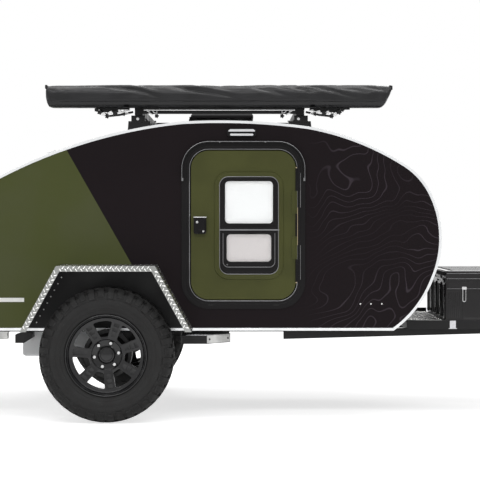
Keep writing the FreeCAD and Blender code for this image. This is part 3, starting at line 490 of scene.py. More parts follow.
skinMaterial("rimBlack", (0.0048, 0.0046, 0.0054, 1), 0.18, 900, 0.0002, 0.12, 0.15,
                         wearColour=(0.05, 0.05, 0.052, 1), coat=0.22, coatRough=0.08, specular=0.3)
skinMaterial("tankPlastic", (0.93, 0.94, 0.95, 1), 0.5, 250, 0.0008, 0.3, 0.04, dust=0.03)
metalMaterial("trimAluminium", (0.83, 0.84, 0.85, 1), 0.26)
metalMaterial("fixingSteel", (0.62, 0.62, 0.62, 1), 0.3, 900)
metalMaterial("zincPlate", (0.56, 0.56, 0.55, 1), 0.38, 300, 0.0002, 0.3, 0.3, dust=0.3)
# painted light: one metal in two copies, the plate darkened as painted shade and its raised bars bright as
# painted highlight
metalMaterial("treadPlate", (0.34, 0.345, 0.335, 1), 0.26, 500, 0.0001, 0.2, 0.2)
metalMaterial("treadBar", (0.88, 0.88, 0.86, 1), 0.16, 700, 0.0001, 0.15, 0.08)
skinMaterial("floorSeal", (0.010, 0.009, 0.009, 1), 0.7, 260, 0.001, 0.4, 0.25, dust=0.4, specular=0.2)
metalMaterial("brassPin", (0.50, 0.40, 0.26, 1), 0.35, 700)
plyMaterial()
vinylMaterial()
clothMaterial("bedCloth", (0.30, 0.31, 0.32, 1), (0.40, 0.41, 0.42, 1))
clothMaterial("bedPiping", (0.06, 0.062, 0.065, 1), (0.09, 0.09, 0.095, 1))
glassMaterial("paneClear", (0.96, 0.97, 0.97, 1), 0.02)
glassMaterial("redLens", (0.6, 0.01, 0.01, 1), 0.15)
rubberMaterial()
skinMaterial("whiteVinyl", (0.82, 0.82, 0.80, 1), 0.35, 1200, 0.0001, 0.1, 0.03)
metalMaterial("beadSilver", (0.20, 0.20, 0.205, 1), 0.30, 700)
# the last number of each screen is its painted glow
screenMaterial("flyScreen", (0.60, 0.555, 0.55, 1), (0.72, 0.675, 0.67, 1), 0.26)
screenMaterial("blindWhite", (0.84, 0.84, 0.84, 1), (0.90, 0.90, 0.90, 1), 0.35)
metalMaterial("satinGrey", (0.62, 0.62, 0.64, 1), 0.34, 900)
skinMaterial("lampWhite", (0.80, 0.80, 0.82, 1), 0.22, 1500, 0.0001, 0.1, 0.03, coat=0.5)

nodeFinish = {
    "wallPaint": ["side_wall_right", "side_wall_left"],
    "olivePaint": ["hatch_panel", "rear_panel"],
    "doorOlive": ["door_panel_right", "door_panel_left"],
    "charcoalPaint": ["roof_shell"],
    "powderBlack": ["chassis_rails", "tongue_tubes", "crossmembers", "coupler", "jack_housing", "box_tray",
                    "outriggers", "axle_beam", "torsion_arms", "fender_backings", "rack_feet", "rack_crossbars",
                    "rack_side_rails", "stabiliser_leg_right", "stabiliser_leg_left"],
    "blackPlastic": ["door_frame_right", "door_frame_left", "door_window_right", "door_window_left",
                     "door_latch_right", "door_latch_left", "roof_vent_base", "roof_vent_lid",
                     "porch_lights"],
    "boxPlastic": ["tongue_box_body", "tongue_box_lid"],
    "drumIron": ["hub_right", "hub_left"],
    "tankPlastic": ["water_tank"],
    "trimAluminium": ["edge_trims", "hatch_hinge"],
    "zincPlate": ["jack_leg", "stabiliser_brackets"],
    "treadPlate": ["fender_right", "fender_left"],
    "birchPly": ["galley_bulkhead", "galley_cabinet"],
    "floorSeal": ["floor_panel"],
    "paneClear": ["door_glass_right", "door_glass_left"],
    "redLens": ["tail_lights"],
    "rimBlack": ["rim_right", "rim_left"],
    "tyreRubber": ["tyre_right", "tyre_left"],
    "coverVinyl": ["awning_bag"],
    "bedCloth": ["mattress"],
}
for finishName, members in nodeFinish.items():
    for member in members:
        for materialSlot in nodes[member].material_slots:
            materialSlot.material = finishes[finishName]
finished = {member for members in nodeFinish.values() for member in members}
print("nodes finished:", len(finished), "left plain:", sorted(set(nodes) - finished))

def axisPlace(origin, direction):
    # a frame at origin whose Z runs along direction
    return Matrix.Translation(Vector(origin)) @ Vector(direction).to_track_quat("Z", "Y").to_matrix().to_4x4()


def frameOf(x, y, z):
    return Matrix((x, y, z)).transposed().to_4x4()


def shift(x, y, z):
    return Matrix.Translation((x, y, z))


def sidePlace(side, x=0, y=0, z=0):
    # X and Y of this frame are the trailer's X and Z, its Z points out of that side
    return Matrix(((1, 0, 0, x), (0, 0, side, y * side), (0, 1, 0, z), (0, 0, 0, 1)))


def layRow(bm, place, outline, height):
    return [bm.verts.new(place @ Vector((x, y, height))) for x, y in outline]


def joinRows(bm, rows, slotIndex=0, closed=False):
    # faces between rows of points that run right round; a row of one point makes a tip
    for a, b in zip(rows, rows[1:] + (rows[:1] if closed else [])):
        count = max(len(a), len(b))
        for i in range(count):
            j = (i + 1) % count
            corners = dict.fromkeys((a[i % len(a)], a[j % len(a)], b[j % len(b)], b[i % len(b)]))
            if len(corners) > 2:
                bm.faces.new(tuple(corners)).material_index = slotIndex


def markNew(bm, before, slotIndex):
    for face in set(bm.faces) - before:
        face.material_index = slotIndex


def roundEdges(bm, verts, width, segments=2, angle=0.6):
    # rounds the edges among verts that are sharper than angle
    chosen = set(verts)
    edges = [e for e in bm.edges if e.verts[0] in chosen and e.verts[1] in chosen
             and len(e.link_faces) == 2 and e.calc_face_angle(0) > angle]
    if width and edges:
        bmesh.ops.bevel(bm, geom=edges, offset=width, segments=segments, profile=0.6, affect="EDGES",
                        clamp_overlap=True)


def addBlock(bm, low, high, place=None, rounding=0.0, slotIndex=0):
    before = set(bm.faces)
    verts = bmesh.ops.create_cube(bm, size=1.0)["verts"]
    middle, reach = (Vector(low) + Vector(high)) / 2, Vector(high) - Vector(low)
    for v in verts:
        v.co = Vector(v.co[i] * reach[i] + middle[i] for i in range(3))
        if place is not None:
            v.co = place @ v.co
    roundEdges(bm, verts, rounding)
    markNew(bm, before, slotIndex)


def addTurned(bm, profile, place, segments=32, slotIndex=0, closed=False):
    # profile of (radius, along Z) turned about Z; a radius of nought closes to a point
    rings = []
    for radius, along in profile:
        turns = [2 * math.pi * i / segments for i in range(segments if radius > 1e-6 else 1)]
        rings.append(layRow(bm, place, [(radius * math.cos(t), radius * math.sin(t)) for t in turns], along))
    joinRows(bm, rings, slotIndex, closed)


def addSlab(bm, outline, low, high, place, rounding=0.0, slotIndex=0, segments=2):
    # outline in the frame's XY, raised from low to high along its Z
    before = set(bm.faces)
    bottom, top = layRow(bm, place, outline, low), layRow(bm, place, outline, high)
    bm.faces.new(bottom[::-1])
    bm.faces.new(top)
    joinRows(bm, [bottom, top])
    roundEdges(bm, bottom + top, rounding, segments, 0.9)
    markNew(bm, before, slotIndex)


def roundedOutline(points, radius, steps=5):
    # rounds every corner of a closed outline; radius may be one number or one for each corner
    out = []
    count = len(points)
    for i in range(count):
        here = Vector(points[i])
        back = Vector(points[i - 1]) - here
        ahead = Vector(points[(i + 1) % count]) - here
        r = radius[i] if isinstance(radius, (list, tuple)) else radius
        if r <= 0:
            out.append(tuple(here))
            continue
        angle = back.angle(ahead)
        reach = min(r / math.tan(angle / 2), back.length * 0.49, ahead.length * 0.49)
        r = reach * math.tan(angle / 2)
        start, end = here + back.normalized() * reach, here + ahead.normalized() * reach
        centre = here + (back.normalized() + ahead.normalized()).normalized() * (r / math.sin(angle / 2))
        a, b = start - centre, end - centre
        sweep = a.angle_signed(b)
        for k in range(steps + 1):
            turned = Matrix.Rotation(-sweep * k / steps, 2) @ a
            out.append(tuple(centre + turned))
    return out


def rectangle(cx, cy, width, height, radius=0.0, steps=5):
    w, h = width / 2, height / 2
    corners = [(cx - w, cy - h), (cx + w, cy - h), (cx + w, cy + h), (cx - w, cy + h)]
    return roundedOutline(corners, radius, steps) if radius else corners


def addTile(bm, spec, low, high, place, rounding=0.0, slotIndex=0, segments=2):
    # spec is what rectangle takes
    addSlab(bm, rectangle(*spec), low, high, place, rounding, slotIndex, segments)


def addFrame(bm, outer, inner, low, high, place, slotIndex=0, lean=0.0):
    # a ring between two outlines with the same number of points
    lines = ((outer, low), (outer, high - lean), (inner, high), (inner, low))
    joinRows(bm, [layRow(bm, place, *line) for line in lines], slotIndex, True)


def addTube(bm, path, radius, segments=12, slotIndex=0, capped=True):
    # a round bar along a line of points
    path = [Vector(p) for p in path]
    rings = []
    side = None
    for i, point in enumerate(path):
        ahead = path[min(i + 1, len(path) - 1)] - path[max(i - 1, 0)]
        ahead.normalize()
        if side is None:
            side = ahead.orthogonal().normalized()
        side = (side - ahead * side.dot(ahead)).normalized()
        up = ahead.cross(side)
        turns = [2 * math.pi * k / segments for k in range(segments)]
        rings.append([bm.verts.new(point + (side * math.cos(t) + up * math.sin(t)) * radius) for t in turns])
    joinRows(bm, rings, slotIndex)
    for cap in (rings[0][::-1], rings[-1]) if capped else ():
        bm.faces.new(cap).material_index = slotIndex


def arcPoints(centre, radius, fromDegrees, toDegrees, count):
    cx, cy = centre
    turns = [math.radians(fromDegrees + (toDegrees - fromDegrees) * i / (count - 1)) for i in range(count)]
    return [(cx + radius * math.cos(t), cy + radius * math.sin(t)) for t in turns]


def addScrew(bm, place, radius, height, slotIndex=0, kind="dome", segments=16):
    # a screw, rivet or bolt head standing on the frame's XY
    if kind == "dome":
        profile = [(radius, -0.0006), (radius, height * 0.35), (radius * 0.86, height * 0.75),
                   (radius * 0.5, height), (0, height)]
    else:
        profile = [(radius * 1.3, -0.0006), (radius * 1.3, height * 0.22), (radius * 1.1, height * 0.25),
                   (0, height * 0.25)]
    addTurned(bm, profile, place, segments, slotIndex)
    if kind == "hex":
        addSlab(bm, arcPoints((0, 0), radius, 0, 300, 6), height * 0.2, height, place, radius * 0.12, slotIndex)


def sharpen(mesh, degrees=35):
    # smooth faces with hard edges where the fold is sharper than degrees
    work = bmesh.new()
    work.from_mesh(mesh)
    for f in work.faces:
        f.smooth = True
    for e in work.edges:
        e.smooth = len(e.link_faces) == 2 and e.calc_face_angle(0) < math.radians(degrees)
    work.to_mesh(mesh)
    work.free()


def makeObject(name, bm, materials):
    bmesh.ops.recalc_face_normals(bm, faces=bm.faces)
    mesh = bpy.data.meshes.new(name)
    bm.to_mesh(mesh)
    bm.free()
    for material in materials:
        mesh.materials.append(finishes[material])
    piece = bpy.data.objects.new(name, mesh)
    bpy.context.scene.collection.objects.link(piece)
    return piece


def settle(piece):
    # applies every modifier
    bpy.context.view_layer.update()
    seen = piece.evaluated_get(bpy.context.evaluated_depsgraph_get())
    mesh = bpy.data.meshes.new_from_object(seen)
    piece.modifiers.clear()
    piece.data = mesh


def cutAway(piece, cutter):
    cut = piece.modifiers.new("cut", "BOOLEAN")
    cut.operation = "DIFFERENCE"
    cut.solver = "EXACT"
    cut.object = cutter
    settle(piece)
    bpy.data.objects.remove(cutter)


def finishPiece(piece, body, replaced=(), degrees=35):
    sharpen(piece.data, degrees)
    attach(piece, body)
    if replaced:
        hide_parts(*replaced)
    return piece


def makePiece(name, bm, materials, body, replaced=(), degrees=35):
    return finishPiece(makeObject(name, bm, materials), body, replaced, degrees)


sides = (("right", -1), ("left", 1))
upright = Matrix(((1, 0, 0, 0), (0, 0, 1, 0), (0, 1, 0, 0), (0, 0, 0, 1)))     # swaps Y and Z

tyre = {
    "x": -0.800, "z": 0.3665, "y": 0.8725, "pitches": 40, "blockHeight": 0.0125,
    # half section: distance from the middle plane, radius
    "section": [(0, 0.3535), (0.030, 0.3533), (0.060, 0.3522), (0.080, 0.3500), (0.094, 0.3462),
                (0.1035, 0.3390), (0.1090, 0.3290), (0.1118, 0.3180), (0.1128, 0.3080), (0.1128, 0.3030),
                (0.1165, 0.2995), (0.1174, 0.2900), (0.1168, 0.2780), (0.1140, 0.2650), (0.1115, 0.2560),
                (0.1100, 0.2545), (0.1075, 0.2480), (0.1030, 0.2375), (0.0990, 0.2305), (0.0985, 0.2265),
                (0.0960, 0.2235), (0.0930, 0.2215)],
}


def sectionAt(distance, side):
    # point and outward direction on the tyre's section, that far along it from the middle
    line = tyre["section"]
    for (y0, r0), (y1, r1) in zip(line, line[1:]):
        span = math.hypot(y1 - y0, r1 - r0)
        if distance <= span:
            t = distance / span
            return (side * (y0 + (y1 - y0) * t), r0 + (r1 - r0) * t), (side * -(r1 - r0) / span,
                                                                       (y1 - y0) / span)
        distance -= span
    return None


def addTreadBlock(bm, corners, height, side, taper=0.9):
    # corners of (distance along the section, place round the tread in metres)
    middle = (sum(c[0] for c in corners) / len(corners), sum(c[1] for c in corners) / len(corners))
    cuts = 3
    fine = []
    for i, corner in enumerate(corners):
        after = corners[(i + 1) % len(corners)]
        fine += [(corner[0] + (after[0] - corner[0]) * k / cuts, corner[1] + (after[1] - corner[1]) * k / cuts)
                 for k in range(cuts)]
    rows = []
    for shrink, lift in ((1.0, -0.0015), (1.0, height * 0.25), (0.5 + taper / 2, height * 0.88),
                         (taper - 0.03, height)):
        row = []
        for d, t in fine:
            d = middle[0] + (d - middle[0]) * shrink
            t = middle[1] + (t - middle[1]) * shrink
            (y, r), (ny, nr) = sectionAt(abs(d), side if d >= 0 else -side)
            turn = t / tyre["z"]
            y, r = y + ny * lift, min(r + nr * lift, tyre["z"] - 0.0003)
            row.append(bm.verts.new((r * math.cos(turn), max(-0.1172, min(0.1172, y)), r * math.sin(turn))))
        rows.append(row)
    joinRows(bm, rows)
    bm.faces.new(rows[-1])


def makeTyre(sideName, side):
    bm = bmesh.new()
    half = tyre["section"]
    inner = [(0.2300, -0.088), (0.3250, -0.100), (0.3400, -0.070), (0.3400, 0.070), (0.3250, 0.100),
             (0.2300, 0.088)]
    # outside from the middle out one way, round the inside, and back the other way
    loop = [(r, y) for y, r in half] + inner[::-1] + [(r, -y) for y, r in half[:0:-1]]
    addTurned(bm, loop, upright, 144, closed=True)
    pitch = 2 * math.pi * tyre["z"] / tyre["pitches"]
    height = tyre["blockHeight"]
    for k in range(tyre["pitches"]):
        t = k * pitch
        for flank in (1, -1):
            stagger = pitch / 2 if flank < 0 else 0
            long = 0.140 if k % 2 else 0.130
            w = pitch * 0.36
            addTreadBlock(bm, [(0.068, t + stagger - w), (long, t + stagger - w * 0.94),
                               (long, t + stagger + w * 0.80), (0.066, t + stagger + w * 0.86)], height, flank)
            addTreadBlock(bm, [(0.148, t + stagger - w * 1.12), (0.163, t + stagger - w * 1.12),
                               (0.163, t + stagger + w * 1.0), (0.148, t + stagger + w * 1.0)], 0.0032, flank,
                          0.94)
            addTreadBlock(bm, [(0.032, t + stagger + pitch * 0.12), (0.058, t + stagger + pitch * 0.02),
                               (0.060, t + stagger + pitch * 0.64), (0.046, t + stagger + pitch * 0.78),
                               (0.030, t + stagger + pitch * 0.70)], height, flank)
        addTreadBlock(bm, [(-0.022, t - pitch * 0.30), (0.004, t - pitch * 0.40), (0.022, t - pitch * 0.16),
                           (0.022, t + pitch * 0.30), (-0.004, t + pitch * 0.42), (-0.022, t + pitch * 0.18)],
                      height, 1)
    for ringRadius, ringY in ((0.2715, 0.1153), (0.2445, 0.1058)):   # fine moulded rings on the walls
        for flank in (1, -1):
            addTurned(bm, [(ringRadius - 0.0012, flank * (ringY - 0.002)),
                           (ringRadius, flank * (ringY + 0.0012)),
                           (ringRadius + 0.0012, flank * (ringY - 0.002))], upright, 144)
    bmesh.ops.transform(bm, matrix=shift(tyre["x"], side * tyre["y"], tyre["z"]), verts=bm.verts)
    return makePiece("tyreTread_" + sideName, bm, ["tyreRubber"], "wheel_" + sideName,
                     ["tyre_" + sideName], 28)


for sideName, side in sides:
    made = makeTyre(sideName, side)
print("tyres made:", len(made.data.polygons), "faces each")

wheel = {
    "spokes": 7, "phase": -83.4, "spokeHalf": (0.0255, 0.029), "windowInner": 0.101, "windowOuter": 0.1845,
    "studs": 6, "studPhase": 10.0, "studRadius": 0.0665,
    "pockets": ((0.171, 0.020, 0.031), (0.1425, 0.019, 0.029)),
    # closed section of barrel and face: radius, distance from the trailer's middle
    "section": [(0.022, 0.9125), (0.076, 0.9125), (0.080, 0.9145), (0.0825, 0.930), (0.0865, 0.9335),
                (0.104, 0.934), (0.150, 0.939), (0.184, 0.9445), (0.188, 0.947), (0.198, 0.9485),
                (0.2015, 0.9510), (0.2085, 0.9640), (0.2105, 0.9645), (0.2125, 0.9700), (0.2150, 0.9745),
                (0.218, 0.9760), (0.2208, 0.975), (0.2208, 0.968), (0.2145, 0.9655), (0.2075, 0.9560),
                (0.2045, 0.9450), (0.2045, 0.790), (0.211, 0.782), (0.2208, 0.7785), (0.2208, 0.770),
                (0.216, 0.7692), (0.2065, 0.776), (0.1985, 0.787), (0.1975, 0.860), (0.1965, 0.922),
                (0.192, 0.9275), (0.186, 0.927), (0.150, 0.920), (0.104, 0.914), (0.084, 0.904),
                (0.022, 0.900)],
}


def windowOutline(centre):
    # rounded triangle between two spokes, its point towards the hub
    gap = math.pi / wheel["spokes"]
    points = []
    inner, outer = wheel["windowInner"], wheel["windowOuter"]
    for r, half in ((inner, wheel["spokeHalf"][0]), (outer, wheel["spokeHalf"][1])):
        points.append((r, gap - math.asin(half / r)))
    (rIn, aIn), (rOut, aOut) = points
    corners = [(rIn, -aIn), (rOut, -aOut)]
    corners += [(rOut + 0.001, -aOut * 0.34), (rOut + 0.001, aOut * 0.34)]
    corners += [(rOut, aOut), (rIn, aIn)]
    flatCorners = [(r * math.cos(centre + a), r * math.sin(centre + a)) for r, a in corners]
    return roundedOutline(flatCorners, [0.011, 0.008, 0.05, 0.05, 0.008, 0.011], 6)


def makeWheel(sideName, side):
    place = sidePlace(side, tyre["x"], 0, tyre["z"])
    bm = bmesh.new()
    addTurned(bm, wheel["section"], place, 168, closed=True)
    piece = makeObject("wheelFace_" + sideName, bm, ["rimBlack", "fixingSteel", "drumIron"])
    cutter = bmesh.new()
    for k in range(wheel["spokes"]):
        spoke = math.radians(wheel["phase"] + 360.0 / wheel["spokes"] * k)
        between = spoke + math.pi / wheel["spokes"]
        addSlab(cutter, windowOutline(between), 0.890, 0.960, place)
        turned = place @ Matrix.Rotation(spoke, 4, "Z")
        for r, radial, wide in wheel["pockets"]:
            addSlab(cutter, rectangle(r, 0, radial, wide, 0.004, 3), 0.9315, 0.960, turned)
        addSlab(cutter, roundedOutline([(0.104, -0.010), (0.127, -0.013), (0.127, 0.013), (0.104, 0.010)],
                                       0.003, 3),
                0.9335, 0.950, turned)
    bmesh.ops.recalc_face_normals(cutter, faces=cutter.faces)
    cutterPiece = makeObject("wheelCutter", cutter, [])
    cutAway(piece, cutterPiece)
    ease = piece.modifiers.new("ease", "BEVEL")
    ease.width = 0.0016
    ease.segments = 2
    ease.limit_method = "ANGLE"
    ease.angle_limit = math.radians(50)
    ease.harden_normals = False
    settle(piece)
    bm = bmesh.new()
    bm.from_mesh(piece.data)
    # centre cap with two shallow steps
    addTurned(bm, [(0.0425, 0.905), (0.0425, 0.921), (0.0405, 0.9240), (0.0345, 0.9252), (0.0330, 0.9238),
                   (0.0315, 0.9252), (0.0200, 0.9275), (0, 0.9280)], place, 56)
    addTurned(bm, [(0.0505, 0.911), (0.0505, 0.9145), (0.0480, 0.9160), (0.0455, 0.9145), (0.0455, 0.911)],
              place, 56)
    for k in range(wheel["studs"]):
        turn = math.radians(wheel["studPhase"] + 60.0 * k)
        at = place @ shift(wheel["studRadius"] * math.cos(turn), wheel["studRadius"] * math.sin(turn), 0)
        hexagon = arcPoints((0, 0), 0.0098, 0, 300, 6)
        addSlab(bm, hexagon, 0.9105, 0.9260, at, 0.0012, 0)
        addTurned(bm, [(0.0086, 0.9255), (0.0086, 0.9282), (0.0074, 0.9292), (0.0052, 0.9292), (0.0048, 0.9270),
                       (0, 0.9262)], at, 24, 1)
        addTurned(bm, [(0.0128, 0.911), (0.0128, 0.9132), (0.0112, 0.9140), (0.0104, 0.9128), (0.0104, 0.911)],
                  at, 24, 0)
    valve = math.radians(wheel["phase"] + 180.0 / wheel["spokes"] * 3)
    along = Vector((math.cos(valve), math.sin(valve), 0))
    addTurned(bm, [(0.0042, 0), (0.0042, 0.006), (0.0030, 0.008), (0.0030, 0.026), (0.0040, 0.027),
                   (0.0040, 0.036), (0, 0.037)], place @ Matrix.Translation(along * 0.1930
                                                                            + Vector((0, 0, 0.9150)))
              @ Vector((along.x * -0.6, along.y * -0.6, 0.8)).to_track_quat("Z", "Y").to_matrix().to_4x4(), 14)
    bmesh.ops.recalc_face_normals(bm, faces=bm.faces)
    bm.to_mesh(piece.data)
    bm.free()
    return finishPiece(piece, "wheel_" + sideName, ["rim_" + sideName], 30)


for sideName, side in sides:
    made = makeWheel(sideName, side)
print("wheels made:", len(made.data.polygons), "faces each")

door = {
    "x": -0.060, "z": 1.068, "width": 0.682, "height": 0.925, "corner": 0.149, "flangeFace": 0.728,
    "leafFace": 0.726,
    "dripFace": 0.744, "dripLow": 1.3225, "dripScrews": ((-0.190, 1.5255), (0.061, 1.5255)),
    "hinge": (0.239, 0.2565, 0.7545, 1.3815), "hingeScrews": 10,
    "windowX": -0.029, "windowZ": 1.066, "windowWidth": 0.319, "latch": (-0.299, 1.066, 0.069, 0.094),
    "latchFace": 0.744, "latchLocks": ((-0.3148, 1.0846, 0.0068), (-0.2805, 1.0340, 0.0052)),
    # rings: width, height, corner, band, foot and crown above the face, slot
    "surroundRings": [(0.5905, 0.8335, 0.1035, 0.0042, -0.001, 0.0022, 0),
                      (0.5815, 0.8245, 0.0985, 0.0042, -0.016, -0.004, 2),
                      (0.626, 0.869, 0.1215, 0.0035, -0.001, 0.0014, 1)],
    "windowRings": [(0.3705, 0.5835, 0.072, 0.0058, -0.001, 0.0058, 0),
                    (0.349, 0.562, 0.061, 0.0042, 0.003, 0.0052, 0),
                    (0.3196, 0.5326, 0.046, 0.0046, 0.0035, 0.0066, 1),
                    (0.299, 0.512, 0.036, 0.0036, 0.0055, 0.0078, 2)],
    # rails across the window: short of its rear and front, low, high, foot and crown, rounding, slot
    "rails": [(0.0, 0.0, 1.0375, 1.0455, 0.0, 0.0042, 0.0012, 1),
              (0.008, 0.014, 1.0500, 1.0545, 0.0, 0.0024, 0.0010, 0),
              (0.008, 0.014, 1.0275, 1.0325, 0.0, 0.0030, 0.0010, 0),
              (0.016, 0.022, 1.0705, 1.0745, -0.0005, 0.0016, 0.0008, 0)],
}


def addRing(bm, cx, cz, width, height, corner, band, low, high, place, slotIndex=0, steps=10):
    # a bead of that band, its inner edge given
    outer = rectangle(cx, cz, width + 2 * band, height + 2 * band, corner + band, steps)
    inner = rectangle(cx, cz, width, height, max(corner, 0.0005), steps)
    middle = rectangle(cx, cz, width + band, height + band, corner + band / 2, steps)
    half = (low + high) / 2
    lines = ((outer, low), (outer, half), (middle, high), (inner, half), (inner, low))
    joinRows(bm, [layRow(bm, place, *line) for line in lines], slotIndex)


def dripPath(inset):
    # up one side of the flange, over the top and down the other, set in from its edge
    x, z, corner = door["x"], door["z"], door["corner"]
    halfWide, halfTall = door["width"] / 2 - inset, door["height"] / 2 - inset
    r = corner - inset
    line = [(x - halfWide, door["dripLow"])]
    line += arcPoints((x - halfWide + r, z + halfTall - r), r, 180, 90, 14)
    line += arcPoints((x + halfWide - r, z + halfTall - r), r, 90, 0, 14)
    return line + [(x + halfWide, door["dripLow"])]


def makeDoorSurround(sideName, side):
    place = sidePlace(side)
    bm = bmesh.new()
    face = door["flangeFace"]
    for wide, tall, corner, band, low, high, slotIndex in door["surroundRings"]:
        addRing(bm, door["x"], door["z"], wide, tall, corner, band, face + low, face + high, place, slotIndex,
                14)
    for inset, radius, slotIndex in ((0.0022, 0.0019, 0), (0.0085, 0.0014, 1)):
        path = [place @ Vector((x, z, door["dripFace"])) for x, z in dripPath(inset)]
        addTube(bm, path, radius, 8, slotIndex)
    for end in (-1, 1):     # turned-out tips of the drip rail
        x = door["x"] + end * (door["width"] / 2 - 0.005)
        addBlock(bm, (x - 0.0052, door["dripLow"] - 0.012, 0.721),
                 (x + 0.0052, door["dripLow"] + 0.006, 0.7455), place, 0.002, 0)
    for x, z in door["dripScrews"]:
        addScrew(bm, place @ shift(x, z, door["dripFace"]), 0.0042, 0.0026, 0)
    x0, x1, z0, z1 = door["hinge"]
    addTile(bm, ((x0 + x1) / 2, (z0 + z1) / 2, x1 - x0, z1 - z0, 0.003, 3), face - 0.0005, face + 0.0016,
            place, 0.0004, 1)
    for low, high in ((1.165, 1.355), (0.767, 0.9565)):
        addBlock(bm, (0.2533, low, face), (0.2563, high, face + 0.0034), place, 0.0008, 0)
    addBlock(bm, (0.2377, 0.9565, face), (0.2402, 1.165, 0.7352), place, 0.0006, 3)
    for k in range(door["hingeScrews"]):
        z = z0 + (z1 - z0) * (k + 0.5) / door["hingeScrews"]
        out = 0.7296 if k // 2 % 2 else 0.7330      # alternate knuckles stand lower
        addScrew(bm, place @ shift(0.2468, z, out), 0.0030, 0.0014, 1)
    for z in (z0 - 0.0035, z1 + 0.0035):
        addTurned(bm, [(0.0038, -0.0035), (0.0038, 0.0025), (0.0026, 0.0035), (0, 0.0037)],
                  Matrix.Translation(place @ Vector((0.232, z, 0.733))), 14, 3)
    for x in (door["x"] - 0.18, door["x"] + 0.18):     # weep slots low on the flange
        addTile(bm, (x, 0.6265, 0.030, 0.005, 0.0024, 3), face - 0.0005, face + 0.0007, place, 0, 2)
    makePiece("doorSurround_" + sideName, bm, ["beadSilver", "blackPlastic", "tyreRubber", "brassPin"],
              "trailer")


def makeDoorTrim(sideName, side):
    place = sidePlace(side)
    x, z, face = door["windowX"], door["windowZ"], door["leafFace"]
    bm = bmesh.new()
    # beads of the raised lip, then silver and black beads round the window
    for wide, tall, corner, band, low, high, slotIndex in door["windowRings"]:
        addRing(bm, x, z, wide, tall, corner, band, face + low, face + high, place, slotIndex, 12)
    makePiece("windowBeads_" + sideName, bm, ["doorOlive", "beadSilver", "blackPlastic"], "door_" + sideName)
    bm = bmesh.new()
    out = face + 0.0058
    rear, front = x - door["windowWidth"] / 2 - 0.003, x + door["windowWidth"] / 2 + 0.008
    for a, b, low, high, foot, crown, rounding, slotIndex in door["rails"]:
        addBlock(bm, (rear + a, low, out + foot), (front - b, high, out + crown), place, rounding, slotIndex)
    # lower sash: a silver line up each side and round its foot
    low, high = 0.8360, 1.0230
    line = [(x - 0.143, high), (x - 0.143, low + 0.030)] + arcPoints((x - 0.113, low + 0.030), 0.030, 180, 270,
                                                                     8)
    line += arcPoints((x + 0.113, low + 0.030), 0.030, 270, 360, 8) + [(x + 0.143, high)]
    addTube(bm, [place @ Vector((a, b, out + 0.0004)) for a, b in line], 0.0019, 8, 1)
    addRing(bm, x, 0.9415, 0.2465, 0.1515, 0.022, 0.0052, out - 0.0004, out + 0.0020, place, 0, 8)
    addRing(bm, x, 1.1935, 0.2645, 0.2335, 0.022, 0.0040, out - 0.0004, out + 0.0016, place, 0, 8)
    addTile(bm, (x + 0.010, 1.0300, 0.034, 0.010, 0.003, 3), out + 0.001, out + 0.0062, place, 0.001, 0)
    addScrew(bm, place @ shift(x - 0.120, 0.8494, out), 0.0036, 0.0022, 1)
    addScrew(bm, place @ shift(x + 0.120, 0.8494, out), 0.0036, 0.0022, 0)
    makePiece("windowRails_" + sideName, bm, ["blackPlastic", "beadSilver"], "door_" + sideName)
    bm = bmesh.new()
    # screen and blind behind the pane; their finishes carry a painted glow
    addTile(bm, (x, 0.9415, 0.2455, 0.1505, 0.0215, 8), 0.7130, 0.7145, place, 0, 0)
    addTile(bm, (x, 1.1935, 0.2635, 0.2325, 0.0215, 8), 0.7130, 0.7145, place, 0, 1)
    makePiece("windowBlinds_" + sideName, bm, ["flyScreen", "blindWhite"], "door_" + sideName)


def makeLatch(sideName, side):
    place = sidePlace(side)
    x, z, wide, tall = door["latch"]
    face = door["latchFace"]
    bm = bmesh.new()
    addRing(bm, x, z, wide - 0.010, tall - 0.010, 0.008, 0.0048, face - 0.001, face + 0.0022, place, 0, 6)
    addBlock(bm, (x - wide / 2 - 0.001, z + tall / 2 - 0.004, 0.7265),
             (x + wide / 2 + 0.001, z + tall / 2 + 0.001, 0.7462), place, 0.0012, 1)
    # paddle that lifts from a dished seat
    addTile(bm, (x + 0.006, z - 0.008, 0.036, 0.054, 0.007, 5), face - 0.0005, face + 0.0058, place, 0.0022, 0,
            3)
    addTile(bm, (x + 0.006, z - 0.026, 0.028, 0.010, 0.004, 4), face + 0.0040, face + 0.0074, place, 0.0014, 0)
    for cx, cz, radius in door["latchLocks"]:
        at = place @ shift(cx, cz, face)
        addTurned(bm, [(radius, -0.001), (radius, 0.0066), (radius * 0.9, 0.0078), (radius * 0.62, 0.0078),
                       (radius * 0.56, 0.0064), (0, 0.0064)], at, 24, 1)
        addBlock(bm, (-0.0006, -radius * 0.45, 0.0060), (0.0006, radius * 0.45, 0.0070), at, 0, 0)
    makePiece("latchDetail_" + sideName, bm, ["blackPlastic", "fixingSteel"], "door_" + sideName)


for sideName, side in sides:
    makeDoorSurround(sideName, side)
    makeDoorTrim(sideName, side)
    makeLatch(sideName, side)
print("doors trimmed")

porchLamp = {"x": (-0.150, 0.012), "hood": (1.5825, 1.5955), "z": 1.5655, "face": 0.746}


def makePorchLamp(sideName, side):
    # hooded lamp: a raked hood over a bar of light
    place = sidePlace(side)
    x0, x1 = porchLamp["x"]
    low, high = porchLamp["hood"]
    middle, z, face = (x0 + x1) / 2, porchLamp["z"], porchLamp["face"]
    bm = bmesh.new()
    hood = roundedOutline([(x0, low), (x1, low), (x1 - 0.018, high), (x0 + 0.018, high)], 0.0035, 4)
    addSlab(bm, hood, face - 0.001, face + 0.0046, place, 0.0018, 0, 3)
    addTile(bm, (middle, z, 0.128, 0.0115, 0.0050, 6), face - 0.001, face + 0.0052, place, 0.0020, 1, 3)
    addRing(bm, middle, z, 0.1285, 0.0120, 0.0050, 0.0030, face - 0.001, face + 0.0030, place, 2, 6)
    makePiece("porchLamp_" + sideName, bm, ["satinGrey", "lampWhite", "blackPlastic"], "trailer")


